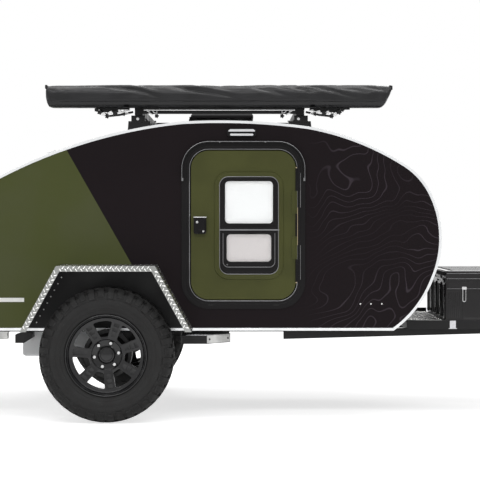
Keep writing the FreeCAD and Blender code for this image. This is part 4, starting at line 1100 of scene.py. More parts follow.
stripe = {"low": 0.64325, "high": 0.66575, "front": -1.2710, "shortOfEdge": 0.016}


def wallRear(sideName, side, z):
    # the wall's rear edge at this height
    return meet(surfaceOf("side_wall_" + sideName), (-2.6, side * 0.704, z), (1, 0, 0)).x


for sideName, side in sides:
    makePorchLamp(sideName, side)
    place = sidePlace(side)
    bm = bmesh.new()
    low, high, front = stripe["low"], stripe["high"], stripe["front"]
    ends = [wallRear(sideName, side, z) + stripe["shortOfEdge"] for z in (low, high)]
    addSlab(bm, [(ends[0], low), (front, low), (front, high), (ends[1], high)], 0.7199, 0.7206, place, 0, 0)
    for x in (0.587, 0.645, 0.705):
        addScrew(bm, place @ shift(x, 0.632, 0.720), 0.0046, 0.0024, 0)
    makePiece("wallMarks_" + sideName, bm, ["whiteVinyl"], "trailer")
print("lamps and stripes made")

fender = {
    "x": -0.800, "foot": 0.495, "top": 0.851, "halfTop": 0.266, "halfFoot": 0.463, "inner": 0.723,
    "outer": 0.9987,
    "sheet": 0.003, "lip": 0.030, "rise": 0.0012, "pitch": 0.0285, "bar": (0.0215, 0.0062), "rivetGap": 0.037,
}


def fenderLine(inset):
    # foot, two top corners and foot of the trapezoid, moved in by inset
    slope = (fender["top"] - fender["foot"]) / (fender["halfFoot"] - fender["halfTop"])
    run = inset * math.sqrt(1 + slope * slope) / slope
    halfTop = fender["halfTop"] + inset / slope - run
    halfFoot = fender["halfFoot"] - run
    x = fender["x"]
    return [(x - halfFoot, fender["foot"]), (x - halfTop, fender["top"] - inset),
            (x + halfTop, fender["top"] - inset), (x + halfFoot, fender["foot"])]


def bentLine(inset, radius):
    return roundedOutline(fenderLine(inset), [0, radius, radius, 0], 5)


def addLozenge(bm, place, turn, slotIndex):
    # a raised bar with pointed ends, standing on the frame's XY
    long, wide = fender["bar"]
    at = place @ Matrix.Rotation(turn, 4, "Z")
    outline = [(-0.5, 0), (-0.32, 0.34), (0, 0.5), (0.32, 0.34), (0.5, 0), (0.32, -0.34), (0, -0.5),
               (-0.32, -0.34)]
    base = layRow(bm, at, [(x * long, y * wide) for x, y in outline], -0.0002)
    crown = layRow(bm, at, [(x * long * 0.72, y * wide * 0.42) for x, y in outline], fender["rise"])
    joinRows(bm, [base, crown], slotIndex)
    bm.faces.new(crown).material_index = slotIndex


def makeFender(sideName, side):
    place = sidePlace(side)
    bm = bmesh.new()
    y0, y1, sheet = fender["inner"], fender["outer"], fender["sheet"]
    outerLine, innerLine = bentLine(0.0013, 0.008), bentLine(0.0013 + sheet, 0.0055)
    addSlab(bm, outerLine + innerLine[::-1], y0, y1 - 0.0005, place, 0, 0)
    lipLine = bentLine(0.0013 + fender["lip"], 0.003)
    addSlab(bm, outerLine + lipLine[::-1], y1 - sheet, y1, place, 0.0006, 0, 2)
    corners = fenderLine(0.0013)
    pitch = fender["pitch"]
    for (xa, za), (xb, zb) in zip(corners, corners[1:]):
        start = place @ Vector((xa, za, 0))
        run = place @ Vector((xb, zb, 0)) - start
        length = run.length
        run.normalize()
        out = Vector((-run.z, 0, run.x))      # away from the wheel
        across = Vector((0, side, 0))
        count = int(length / pitch)
        spare = (length - count * pitch) / 2
        # the plate's own rows
        plate = frameOf(run, across * (1 if run.cross(across).dot(out) > 0 else -1), out)
        rows = int((y1 - y0) / (pitch / 2))
        for row in range(rows):
            y = y0 + pitch * 0.30 + row * pitch / 2
            for k in range(count + 1):
                along = spare + (k + (0.5 if row % 2 else 0.0)) * pitch
                if not 0.012 < along < length - 0.012 or y > y1 - 0.010:
                    continue
                at = start + run * along + Vector((0, side * y, 0))
                addLozenge(bm, Matrix.Translation(at) @ plate, math.radians(45 if row % 2 else -45), 1)
        # two rows down the lip
        face = frameOf(run, -out, across)
        for row, inset in enumerate((0.0088, 0.0212)):
            for k in range(count + 1):
                along = spare + (k + (0.5 if row else 0.0)) * pitch
                if not inset * 0.6 + 0.006 < along < length - inset * 0.6 - 0.006:
                    continue
                at = start + run * along - out * inset + Vector((0, side * y1, 0))
                addLozenge(bm, Matrix.Translation(at) @ face, math.radians(52 if row else -52), 1)
    # the bars take treadBar, a painted highlight, and the plate treadPlate, a painted shade
    makePiece("treadFender_" + sideName, bm, ["treadPlate", "treadBar"], "trailer",
              ["fender_" + sideName], 25)
    bm = bmesh.new()
    line = fenderLine(0.036)
    for (xa, za), (xb, zb) in zip(line, line[1:]):
        length = math.hypot(xb - xa, zb - za)
        count = int(length / fender["rivetGap"])
        for k in range(1, count):
            x, z = xa + (xb - xa) * k / count, za + (zb - za) * k / count
            addScrew(bm, place @ shift(x, z, fender["inner"]), 0.0040, 0.0022, 0, "dome", 12)
    makePiece("fenderRivets_" + sideName, bm, ["fixingSteel"], "trailer")


for sideName, side in sides:
    makeFender(sideName, side)
print("fenders made")

air = {"stiffness": 12.0, "bending": 0.6, "quality": 5, "frames": 20}


def reskin(piece, voxel):
    skin = piece.modifiers.new("skin", "REMESH")
    skin.mode = "VOXEL"
    skin.voxel_size = voxel
    settle(piece)


def blowUp(piece, voxel, pressure, cap):
    # fills a closed skin with air, then holds every point within cap of where it began
    mesh = piece.data.copy()
    shape = bpy.data.objects.new(piece.name + "Air", mesh)
    bpy.context.scene.collection.objects.link(shape)
    reskin(shape, voxel)
    began = [v.co.copy() for v in shape.data.vertices]
    cloth = shape.modifiers.new("cloth", "CLOTH")
    cloth.settings.use_pressure = True
    cloth.settings.uniform_pressure_force = pressure
    cloth.settings.tension_stiffness = cloth.settings.compression_stiffness = air["stiffness"]
    cloth.settings.bending_stiffness = air["bending"]
    cloth.settings.effector_weights.gravity = 0
    cloth.settings.quality = air["quality"]
    cloth.collision_settings.use_collision = False
    for frameNumber in range(1, air["frames"] + 1):
        bpy.context.scene.frame_set(frameNumber)
    settle(shape)
    bpy.context.scene.frame_set(1)
    for v, start in zip(shape.data.vertices, began):
        moved = v.co - start
        if moved.length > cap:
            v.co = start + moved.normalized() * cap
    piece.data = shape.data
    bpy.data.objects.remove(shape)


def clampInto(mesh, low, high):
    for v in mesh.vertices:
        v.co = Vector(min(max(v.co[i], low[i]), high[i]) for i in range(3))


bag = {
    "low": (-1.1450, -0.8200, 1.7123), "high": (0.7570, -0.6800, 1.8353), "stations": 96, "around": 36,
}


def foldHeight(x, turn):
    # long slanting wrinkles of a slack cover, in metres
    height = 0.0
    for fx, ft, offset, depth, width in bagFolds:
        run = (x - fx) * 0.94 + (turn - ft) * 0.10 * offset
        across = (turn - ft) * 0.10 - (x - fx) * offset
        reach = math.exp(-(run / width) ** 2)
        height += depth * reach * math.sin(min(max(across * 90, -math.pi), math.pi))
    return height


random.seed(41)
bagFolds = []
for k in range(46):
    at = -1.05 + 1.72 * random.random()
    bagFolds.append((at, 0.3 + 2.4 * random.random(), -0.22 - 0.25 * random.random(),
                     0.0026 + 0.0058 * random.random() ** 2, 0.08 + 0.17 * random.random()))


def makeBag():
    low, high = bag["low"], bag["high"]
    midY, midZ = (low[1] + high[1]) / 2, (low[2] + high[2]) / 2
    halfY, halfZ = (high[1] - low[1]) / 2 - 0.004, (high[2] - low[2]) / 2 - 0.003
    bm = bmesh.new()
    rings = []
    for i in range(bag["stations"] + 1):
        t = i / bag["stations"]
        x = low[0] + 0.004 + (high[0] - low[0] - 0.008) * t
        pinch = min(1.0, 0.965 + 0.35 * min(t, 1 - t) * 8)
        ring = []
        for k in range(bag["around"]):
            turn = 2 * math.pi * k / bag["around"]
            c, n = math.cos(turn), math.sin(turn)
            power = 0.34
            y = midY + halfY * math.copysign(abs(c) ** power, c) * pinch
            z = midZ + halfZ * math.copysign(abs(n) ** power, n) * (1.0 if n < 0 else pinch)
            # front end slopes in towards its foot, rear end is cut square with a soft corner
            lean = 0.052 * max(0.0, (high[2] - z - 0.045) / 0.078) * max(0.0, (t - 0.9) / 0.1)
            tuck = 0.018 * max(0.0, (high[2] - z - 0.085) / 0.038) * max(0.0, (0.04 - t) / 0.04)
            ring.append(bm.verts.new((x - lean + tuck, y, z)))
        rings.append(ring)
    joinRows(bm, rings)
    bm.faces.new(rings[0][::-1])
    bm.faces.new(rings[-1])
    piece = makeObject("awningCover", bm, ["coverVinyl"])
    blowUp(piece, 0.0065, 3.0, 0.006)
    for v in piece.data.vertices:
        y, z = v.co.y - midY, v.co.z - midZ
        turn = math.atan2(z / halfZ, -y / halfY)
        facing = Vector((0, y / halfY, z / halfZ)).normalized()
        if z > -halfZ * 0.86:
            v.co += facing * foldHeight(v.co.x, turn)
        # the cloth bellies between the bars' straps
        sag = 0.5 + 0.5 * math.cos((v.co.x + 0.19) / 0.45 * math.pi)
        if z > 0:
            v.co.z -= 0.005 * sag * (z / halfZ)
    clampInto(piece.data, (low[0] + 0.001, low[1] + 0.0004, low[2] + 0.0004),
              (high[0] - 0.001, high[1] - 0.0004, high[2]))
    smooth = piece.modifiers.new("ease", "SMOOTH")
    smooth.factor = 0.5
    smooth.iterations = 2
    settle(piece)
    finishPiece(piece, "trailer", ["awning_bag"], 180)
    return piece


made = makeBag()
print("cover made:", len(made.data.polygons), "faces")

bed = {"low": (-1.0857, -0.6877, 0.5673), "high": (0.7043, 0.6877, 0.6670), "columns": 5, "rows": 7}


def makeMattress():
    low, high = bed["low"], bed["high"]
    bm = bmesh.new()
    inset = 0.010
    outline = rectangle((low[0] + high[0]) / 2, 0, high[0] - low[0] - 2 * inset, high[1] - low[1] - 2 * inset,
                        0.05, 6)
    addSlab(bm, outline, low[2] + 0.004, high[2] - 0.012, Matrix.Identity(4), 0.022, 0, 4)
    piece = makeObject("mattressPad", bm, ["bedCloth", "bedPiping"])
    blowUp(piece, 0.013, 4.0, 0.009)
    fine = piece.modifiers.new("fine", "SUBSURF")
    fine.levels = fine.render_levels = 1
    settle(piece)
    wide, deep = high[0] - low[0], high[1] - low[1]
    for v in piece.data.vertices:
        if v.co.z < (low[2] + high[2]) / 2:
            continue
        u = (v.co.x - low[0]) / wide * bed["rows"]
        w = (v.co.y - low[1]) / deep * bed["columns"]
        channel = min(abs(u - round(u)) * wide / bed["rows"], abs(w - round(w)) * deep / bed["columns"])
        border = min(v.co.x - low[0], high[0] - v.co.x, v.co.y - low[1], high[1] - v.co.y)
        if border > 0.04:
            v.co.z -= 0.007 * math.exp(-(channel / 0.010) ** 2)
    for v in piece.data.vertices:
        v.co.z = max(v.co.z, low[2] + 0.0006)
    clampInto(piece.data, (low[0] + 0.0004, low[1] + 0.0004, low[2] + 0.0004),
              (high[0] - 0.0004, high[1] - 0.0004, high[2]))
    bm = bmesh.new()
    bm.from_mesh(piece.data)
    for z in (low[2] + 0.014, high[2] - 0.020):      # piping round both edges
        line = rectangle((low[0] + high[0]) / 2, 0, wide - 0.012, deep - 0.012, 0.05, 8)
        addTube(bm, [(x, y, z) for x, y in line + line[:1]], 0.0036, 8, 1, False)
    bm.to_mesh(piece.data)
    bm.free()
    finishPiece(piece, "trailer", ["mattress"], 60)
    return piece


made = makeMattress()
print("mattress made:", len(made.data.polygons), "faces")

rack = {
    "bars": (-0.636, 0.253), "barTop": 1.714, "barLow": 1.674, "footHalf": 0.064,
    "footIn": 0.658, "footOut": 0.6965, "footY": 0.67, "neck": (-0.044, 0.032), "shoulder": 1.643,
    "clampY": 0.600, "grips": 9, "gripReach": 0.52, "bracketLow": 1.6985, "bracketY": -0.742,
    # knobs under the cover: how far along from the bar, drop, radius, silver or not
    "knobs": ((0.230, 0.006, 0.012, 0), (0.212, 0.019, 0.015, 0), (0.190, 0.030, 0.013, 1),
              (0.171, 0.042, 0.0125, 0), (0.150, 0.020, 0.010, 1), (0.128, 0.026, 0.015, 0),
              (0.100, 0.018, 0.011, 1), (0.080, 0.030, 0.0105, 0)),
}
roofTree = surfaceOf("roof_shell")


def roofAt(x, y):
    return meet(roofTree, (x, y, 2.2)).z


def addKnob(bm, at, axis, radius, thick, slotIndex=0, stem=0.0):
    # a five-lobed grip, its stem running back along the axis
    place = axisPlace(at, axis)
    lobes = []
    for k in range(40):
        turn = 2 * math.pi * k / 40
        r = radius * (0.84 + 0.16 * math.cos(turn * 5))
        lobes.append((r * math.cos(turn), r * math.sin(turn)))
    addSlab(bm, lobes, 0, thick, place, radius * 0.16, slotIndex, 2)
    addTurned(bm, [(radius * 0.42, thick - 0.0005), (radius * 0.40, thick + 0.0022), (0, thick + 0.0026)],
              place, 16, slotIndex)
    if stem:
        addTurned(bm, [(0.0036, 0.001), (0.0036, -stem), (0.0028, -stem - 0.001), (0, -stem - 0.001)], place,
                  12, 1)


def addWingNut(bm, at, axis, size, slotIndex=1):
    place = axisPlace(at, axis)
    addTurned(bm, [(size * 0.5, 0), (size * 0.42, size * 0.6), (size * 0.3, size * 0.62), (0, size * 0.62)],
              place, 14, slotIndex)
    for end in (-1, 1):
        wing = roundedOutline([(end * size * 0.35, 0), (end * size * 1.1, size * 0.45),
                               (end * size * 1.2, size * 1.1), (end * size * 0.7, size),
                               (end * size * 0.3, size * 0.5)][::end], size * 0.16, 3)
        addSlab(bm, wing, -size * 0.12, size * 0.12, place @ upright, size * 0.05, slotIndex)


def makeRackFeet():
    bm = bmesh.new()
    for x in rack["bars"]:
        for side in (-1, 1):
            place = sidePlace(side)
            ends = [x - rack["footHalf"] + (2 * rack["footHalf"]) * i / 8 for i in range(9)]
            foot = [(a, roofAt(a, side * rack["footY"]) + 0.0006) for a in ends]
            neck = rack["neck"] if x < 0 else (-rack["neck"][1], -rack["neck"][0])
            top = [(x + rack["footHalf"] - 0.004, rack["shoulder"]), (x + neck[1], rack["shoulder"]),
                   (x + neck[1], rack["barLow"]), (x + neck[0], rack["barLow"]),
                   (x + neck[0], rack["shoulder"]), (x - rack["footHalf"] + 0.004, rack["shoulder"])]
            addSlab(bm, foot + top, rack["footIn"], rack["footOut"] - 0.004, place, 0.0022, 0, 2)
            # cover plate with a rolled rim, and its bolt
            plate = roundedOutline([(x + neck[0] + 0.006, 1.636), (x + neck[1] - 0.006, 1.636),
                                    (x + neck[1] - 0.006, 1.671), (x + neck[0] + 0.006, 1.671)], 0.004, 3)
            addSlab(bm, plate, rack["footOut"] - 0.0045, rack["footOut"], place, 0.0012, 0)
            addScrew(bm, place @ shift(x - 0.008, 1.6555, rack["footOut"] - 0.0005), 0.0062, 0.0046, 1, "hex")
            for end in (-1, 1):
                at = place @ shift(x + end * 0.052, rack["shoulder"] - 0.016, rack["footOut"] - 0.0042)
                addScrew(bm, at, 0.0036, 0.0022, 0)
            # rubber pad on the roof
            pad = [(a, roofAt(a, side * rack["footY"]) + 0.0004) for a in ends]
            addSlab(bm, pad + [(a, z + 0.005) for a, z in pad[::-1]], rack["footIn"] - 0.004,
                    rack["footOut"] - 0.002, place, 0, 2)
    makePiece("rackFeet", bm, ["powderBlack", "fixingSteel", "tyreRubber"], "trailer",
              ["rack_feet"])


def makeRackFittings():
    bm = bmesh.new()
    for x in rack["bars"]:
        for side in (-1, 1):
            place = sidePlace(side)
            # end cap of the bar
            cap = rectangle(x, (rack["barTop"] + rack["barLow"]) / 2 - 0.001, 0.043, 0.037, 0.006, 4)
            addSlab(bm, cap, 0.7345, 0.7385, place, 0.0014, 2)
            # clamp over the bar with two bolts, inboard of the bag
            y, top = side * rack["clampY"], rack["barTop"]
            addBlock(bm, (x - 0.030, y - 0.014, top), (x + 0.030, y + 0.014, top + 0.005), None, 0.0016, 0)
            for end in (-1, 1):
                at = shift(x + end * 0.0262, y, top + 0.0048)
                addScrew(bm, at, 0.0048, 0.0050, 1, "hex")
                addTurned(bm, [(0.0030, -0.052), (0.0030, 0), (0, 0.0004)], at, 10, 1)
        for k in range(rack["grips"]):     # grip ribs along the top of the bar
            y = -rack["gripReach"] + 2 * rack["gripReach"] * k / (rack["grips"] - 1)
            addBlock(bm, (x - 0.015, y - 0.045, rack["barTop"] - 0.0004),
                     (x + 0.015, y + 0.045, rack["barTop"] + 0.0012), None, 0.0005, 2)
    makePiece("rackFittings", bm, ["powderBlack", "fixingSteel", "blackPlastic"], "trailer")
    # brackets, grips and wing nuts that hold the cover's rail, on the right side only
    bm = bmesh.new()
    low, back = rack["bracketLow"], rack["bracketY"]
    for x, end in ((rack["bars"][0], -1), (rack["bars"][1], 1)):
        reach = (0.235, 0.052) if end < 0 else (0.272, 0.052)
        xs = sorted((x + end * reach[1], x + end * reach[0]))
        addBlock(bm, (xs[0], back - 0.018, low + 0.0045), (xs[1], back + 0.012, 1.7118), None, 0.002, 0)
        addBlock(bm, (xs[0] + 0.02, back - 0.004, low - 0.010), (xs[1] - 0.06, back + 0.004, low + 0.006), None,
                 0.0015, 0)
        for along, drop, radius, silver in rack["knobs"]:
            cx = x + end * along
            at = Vector((cx, back - 0.014 - 0.003 * (along * 97 % 1), low - drop + 0.010))
            addKnob(bm, at, (0.15 * end, -1, -0.25), radius, 0.010, silver, 0.020)
            addTube(bm, [(cx, back, low - drop + 0.010), (cx, back, low + 0.008)], 0.0032, 8, 1)
        # forked arm from the bar, and its long bolt
        addTube(bm, [(x + end * 0.030, back - 0.004, 1.690), (x + end * 0.105, back - 0.004, 1.674),
                     (x + end * 0.160, back - 0.004, 1.668), (x + end * 0.205, back - 0.004, 1.690)], 0.0062,
                10, 0)
        addTube(bm, [(x + end * 0.046, back - 0.020, 1.700), (x + end * 0.125, back - 0.020, 1.682)], 0.0030, 8,
                1)
        addWingNut(bm, (x + end * 0.062, back - 0.020, 1.686), (0, -0.4, -1), 0.010)
        # inner side: a pair of silver clips and a hanging grip
        for inward, drop in ((0.036, 0.004), (0.052, 0.018), (0.070, 0.010)):
            cx = x - end * inward
            addTube(bm, [(cx, back - 0.004, low + 0.008), (cx - end * 0.014, back - 0.008, low - drop),
                         (cx - end * 0.028, back - 0.004, low - drop - 0.006)], 0.0034, 8, 1)
        addKnob(bm, (x - end * 0.100, back - 0.012, low - 0.030), (0, -1, -0.2), 0.0125, 0.010, 0, 0.016)
        addWingNut(bm, (x - end * 0.062, back - 0.014, low - 0.014), (0, -1, -0.6), 0.009)
        addTube(bm, [(x - end * 0.100, back - 0.004, low - 0.028),
                     (x - end * 0.100, back - 0.004, low + 0.010)], 0.003, 8, 1)
    # rail under the cover, in the gap between the bars
    x0, x1 = rack["bars"][0] + 0.03, rack["bars"][1] - 0.03
    addBlock(bm, (x0, -0.772, 1.7010), (x1, -0.738, 1.7115), None, 0.0015, 0)
    addBlock(bm, (x0, -0.7735, 1.6962), (x1, -0.7690, 1.7005), None, 0.0008, 1)
    makePiece("coverBrackets", bm, ["powderBlack", "fixingSteel"], "trailer")


def makeCoverTrim():
    # a seam along the cover, bands for its straps and a flap at each end
    low, high = bag["low"], bag["high"]
    bm = bmesh.new()
    length = high[0] - low[0] - 0.10
    addTube(bm, [(low[0] + 0.03 + length * i / 60, low[1] + 0.0030, low[2] + 0.030 + 0.0006 * math.sin(i * 1.7))
                 for i in range(61)], 0.0016, 6, 0)
    for x in (-0.700, 0.320):
        addBlock(bm, (x - 0.014, -0.812, low[2] - 0.0012), (x + 0.014, -0.690, low[2] + 0.0006), None, 0.0004,
                 0)
    for end, corners in ((low[0], ((0.001, 0.022), (0.016, 0.024), (0.013, 0.001), (0.001, 0.001))),
                         (high[0], ((-0.020, 0.030), (-0.002, 0.028), (-0.002, 0.006), (-0.020, 0.002)))):
        flap = roundedOutline([(end + along, high[2] - drop) for along, drop in corners], 0.003, 3)
        addSlab(bm, flap, 0.694, 0.808, sidePlace(-1), 0.0012, 0)
    makePiece("coverSeams", bm, ["coverVinyl"], "trailer")


makeRackFeet()
makeRackFittings()
makeCoverTrim()
print("rack made")

chest = {
    "latchX": 1.196, "latchLow": 0.632, "latchHigh": 0.704, "drawLatches": (-0.30, 0.30),
    "x0": 1.092, "x1": 1.552, "half": 0.450, "lidLow": 0.7585, "top": 0.802,
    "rearRibs": (-0.425, -0.225, 0.0, 0.225, 0.425), "ribWide": 0.030, "ribProud": 0.009,
}


def addRib(bm, low, high, place, proud, slotIndex):
    # half-round moulded rib on the frame's XY between two corners
    wide = high[0] - low[0]
    profile = [(low[0] + wide * (0.5 - 0.5 * math.cos(math.pi * i / 8)),
                proud * math.sin(math.pi * i / 8) ** 0.7)
               for i in range(9)]
    rows = []
    for z, lift in ((low[1], 0.0), (low[1] + 0.008, 1.0), (high[1] - 0.008, 1.0), (high[1], 0.0)):
        rows.append([bm.verts.new(place @ Vector((x, z, lift * h - 0.0002))) for x, h in profile])
    for a, b in zip(rows, rows[1:]):
        for i in range(len(profile) - 1):
            bm.faces.new((a[i], a[i + 1], b[i + 1], b[i])).material_index = slotIndex


def endPlace(x, facing):
    # X of this frame is the trailer's Y, its Y is up, its Z points forward or back along X
    return Matrix(((0, 0, facing, x), (facing, 0, 0, 0), (0, 1, 0, 0), (0, 0, 0, 1)))


def makeChestSkin():
    bm = bmesh.new()
    half = chest["half"]
    rear, front = endPlace(chest["x0"], -1), endPlace(chest["x1"], 1)
    for place in (rear, front):
        ribs = chest["rearRibs"]
        for a, b in zip(ribs, ribs[1:]):
            gap = chest["ribWide"] / 2 + 0.004
            addTile(bm, ((a + b) / 2, 0.632, b - a - 2 * gap, 0.180, 0.008, 3), -0.0002, 0.0018, place, 0.0008,
                    1)
        for y in ribs:
            addRib(bm, (y - chest["ribWide"] / 2, 0.530), (y + chest["ribWide"] / 2, 0.7365), place,
                   chest["ribProud"], 3)
    for side in (-1, 1):
        place = sidePlace(side, y=half)
        # raised end panels, a long dished panel between them and fine vertical flutes
        for x0, x1 in ((1.098, 1.182), (1.462, 1.546)):
            addTile(bm, ((x0 + x1) / 2, 0.613, x1 - x0, 0.166, 0.006, 3), -0.0002, 0.0042, place, 0.0020, 0)
            for k in range(6):
                x = x0 + 0.012 + (x1 - x0 - 0.024) * k / 5
                addRib(bm, (x - 0.0026, 0.540), (x + 0.0026, 0.686), sidePlace(side, y=half + 0.0042), 0.0016,
                       0)
        addFrame(bm, rectangle(1.322, 0.613, 0.268, 0.166, 0.010, 4),
                 rectangle(1.322, 0.613, 0.244, 0.142, 0.006, 4), -0.0002, 0.0040, place, 0, 0.0016)
        addTile(bm, (1.322, 0.7265, 0.444, 0.030, 0.005, 3), -0.0002, 0.0050, place, 0.0022, 0)
        addBlock(bm, (1.098, 0.7035, -0.0002), (1.546, 0.7060, 0.0034), place, 0.0006, 2)
    for x in (chest["x0"], chest["x1"]):
        for side in (-1, 1):      # rounded corner posts
            addTube(bm, [(x + (0.003 if x < 1.3 else -0.003), side * (half - 0.003), 0.528),
                         (x + (0.003 if x < 1.3 else -0.003), side * (half - 0.003), 0.738)], 0.0075, 12, 0)
    makePiece("chestSkin", bm, ["boxPlastic", "matteBlack", "beadSilver", "ribGloss"], "trailer")


def makeLidSkin():
    bm = bmesh.new()
    half, z0, z1 = chest["half"], chest["lidLow"], chest["top"]
    for side in (-1, 1):
        place = sidePlace(side, y=half)
        addTile(bm, (1.322, (z0 + z1) / 2 - 0.004, 0.456, z1 - z0 - 0.010, 0.004, 3), -0.0002, 0.0036, place,
                0.0016, 0)
        addBlock(bm, (1.096, 0.7905, -0.0002), (1.548, 0.7930, 0.0048), place, 0.0008, 1)
        addBlock(bm, (1.096, 0.7605, -0.0002), (1.548, 0.7630, 0.0048), place, 0.0008, 1)
    for place in (endPlace(chest["x0"], -1), endPlace(chest["x1"], 1)):
        addTile(bm, (0, 0.7870, 0.880, 0.020, 0.004, 3), -0.0002, 0.0020, place, 0.0010, 2)
    # raised bars along the top with a bolder rim
    flat = shift(0, 0, chest["top"])
    addFrame(bm, rectangle(1.322, 0, 0.452, 0.892, 0.016, 5), rectangle(1.322, 0, 0.410, 0.850, 0.010, 5),
             -0.0004, 0.0052, flat, 3, 0.002)
    for k in range(7):
        y = -0.36 + 0.12 * k
        addTile(bm, (1.322, y, 0.360, 0.046, 0.010, 4), -0.0004, 0.0050, flat, 0.0024, 3)
    makePiece("lidSkin", bm, ["boxPlastic", "beadSilver", "matteBlack", "ribGloss"], "tongue_box_lid")


def makeChestLatches():
    bm = bmesh.new()
    for side in (-1, 1):
        place = sidePlace(side, y=chest["half"] + 0.0042)
        x, z0, z1 = chest["latchX"], chest["latchLow"], chest["latchHigh"]
        line = [(x - 0.0085, z1), (x - 0.0085, z0 + 0.008)] + arcPoints((x, z0 + 0.008), 0.0085, 180, 360, 9)
        line += [(x + 0.0085, z1)]
        addTube(bm, [place @ Vector((a, b, 0.0042)) for a, b in line], 0.0022, 8, 1)
        addBlock(bm, (x - 0.013, z1 - 0.004, -0.004), (x + 0.013, z1 + 0.012, 0.0052), place, 0.0014, 1)
        addBlock(bm, (x - 0.007, z0 + 0.016, -0.004), (x + 0.007, z0 + 0.030, 0.0030), place, 0.0010, 0)
        for dx in (-0.009, 0.009):
            addScrew(bm, place @ shift(x + dx, z1 + 0.006, 0.005), 0.0024, 0.0014, 1, "dome", 10)
    front = endPlace(chest["x1"] + 0.0018, 1)
    for y in chest["drawLatches"]:     # draw latches at the front of the chest
        addTile(bm, (y, 0.716, 0.036, 0.034, 0.004, 3), -0.001, 0.0060, front, 0.0016, 0)
        addTile(bm, (y, 0.700, 0.022, 0.050, 0.005, 3), 0.0055, 0.0100, front, 0.0016, 1)
        addScrew(bm, front @ shift(y, 0.690, 0.0098), 0.0044, 0.0024, 1)
    makePiece("chestLatches", bm, ["boxPlastic", "fixingSteel"], "trailer")


trayTree = surfaceOf("box_tray")


tray = {"x0": 0.878, "x1": 1.074, "half": 0.440, "rows": 13, "rowPitch": 0.0148, "bars": 62, "barPitch": 0.0143,
        "straps": (1.132, 1.500)}


def makeTrayFloor():
    bm = bmesh.new()
    floorZ = meet(trayTree, (0.97, 0.1, 1.0)).z
    x0, x1, half = tray["x0"], tray["x1"], tray["half"]
    flat = Matrix.Identity(4)
    addTile(bm, ((x0 + x1) / 2, 0, x1 - x0, 2 * half, 0.002, 2), floorZ + 0.0002, floorZ + 0.0030, flat, 0.0005,
            0)
    for row in range(tray["rows"]):
        for k in range(tray["bars"]):
            x = x0 + 0.009 + row * tray["rowPitch"]
            y = -half + 0.012 + k * tray["barPitch"] + (0.007 if row % 2 else 0)
            if y < half - 0.008:
                at = shift(x, y, floorZ + 0.0030)
                addLozenge(bm, at, math.radians(45 if (row + k) % 2 else -45), 1)
    # side lip, clamp straps and the fixing bolts of the tray
    addBlock(bm, (0.8705, 0.4330, 0.5238), (1.0800, 0.4500, 0.5500), None, 0.002, 2)
    for side in (-1, 1):
        place = sidePlace(side, y=0.450)
        for x in tray["straps"]:
            addTile(bm, (x, 0.5005, 0.034, 0.0445, 0.002, 2), -0.0002, 0.0034, place, 0.0010, 3)
            addBlock(bm, (x - 0.024, 0.4765, -0.0002), (x + 0.024, 0.4800, 0.0050), place, 0.0010, 3)
            for z in (0.4900, 0.5110):
                addScrew(bm, place @ shift(x, z, 0.0032), 0.0050, 0.0040, 3, "hex")
        addBlock(bm, (0.8715, 0.5205, -0.0002), (1.5990, 0.5232, 0.0012), place, 0.0005, 2)
    # the lozenges take treadBar, a painted highlight, and the plate treadPlate, a painted shade
    makePiece("trayFloor", bm, ["treadPlate", "treadBar", "powderBlack", "satinGrey"], "trailer",
              degrees=25)


makeChestSkin()
makeLidSkin()
makeChestLatches()
makeTrayFloor()
print("tongue box made")

def rearPlaceOn(tree, y, z):
    # a frame on the rear skin: X across, Y up the skin, Z out of it
    point, normal = tree.ray_cast(Vector((-2.6, y, z)), Vector((1, 0, 0)))[:2]
    if normal.x > 0:
        normal = -normal
    across = Vector((0, -1, 0))
    up = normal.cross(across)
    return Matrix.Translation(point) @ frameOf(across, up, normal)


hatchTree, rearTree, cabinetTree = [surfaceOf(name) for name in ("hatch_panel", "rear_panel", "galley_cabinet")]


hatchParts = {
    "handleZ": 0.730, "catches": (-0.42, 0.42), "catchZ": 0.700,
    "footZ": 0.652, "footFrom": -0.63, "footPitch": 0.21, "footCount": 7,
}


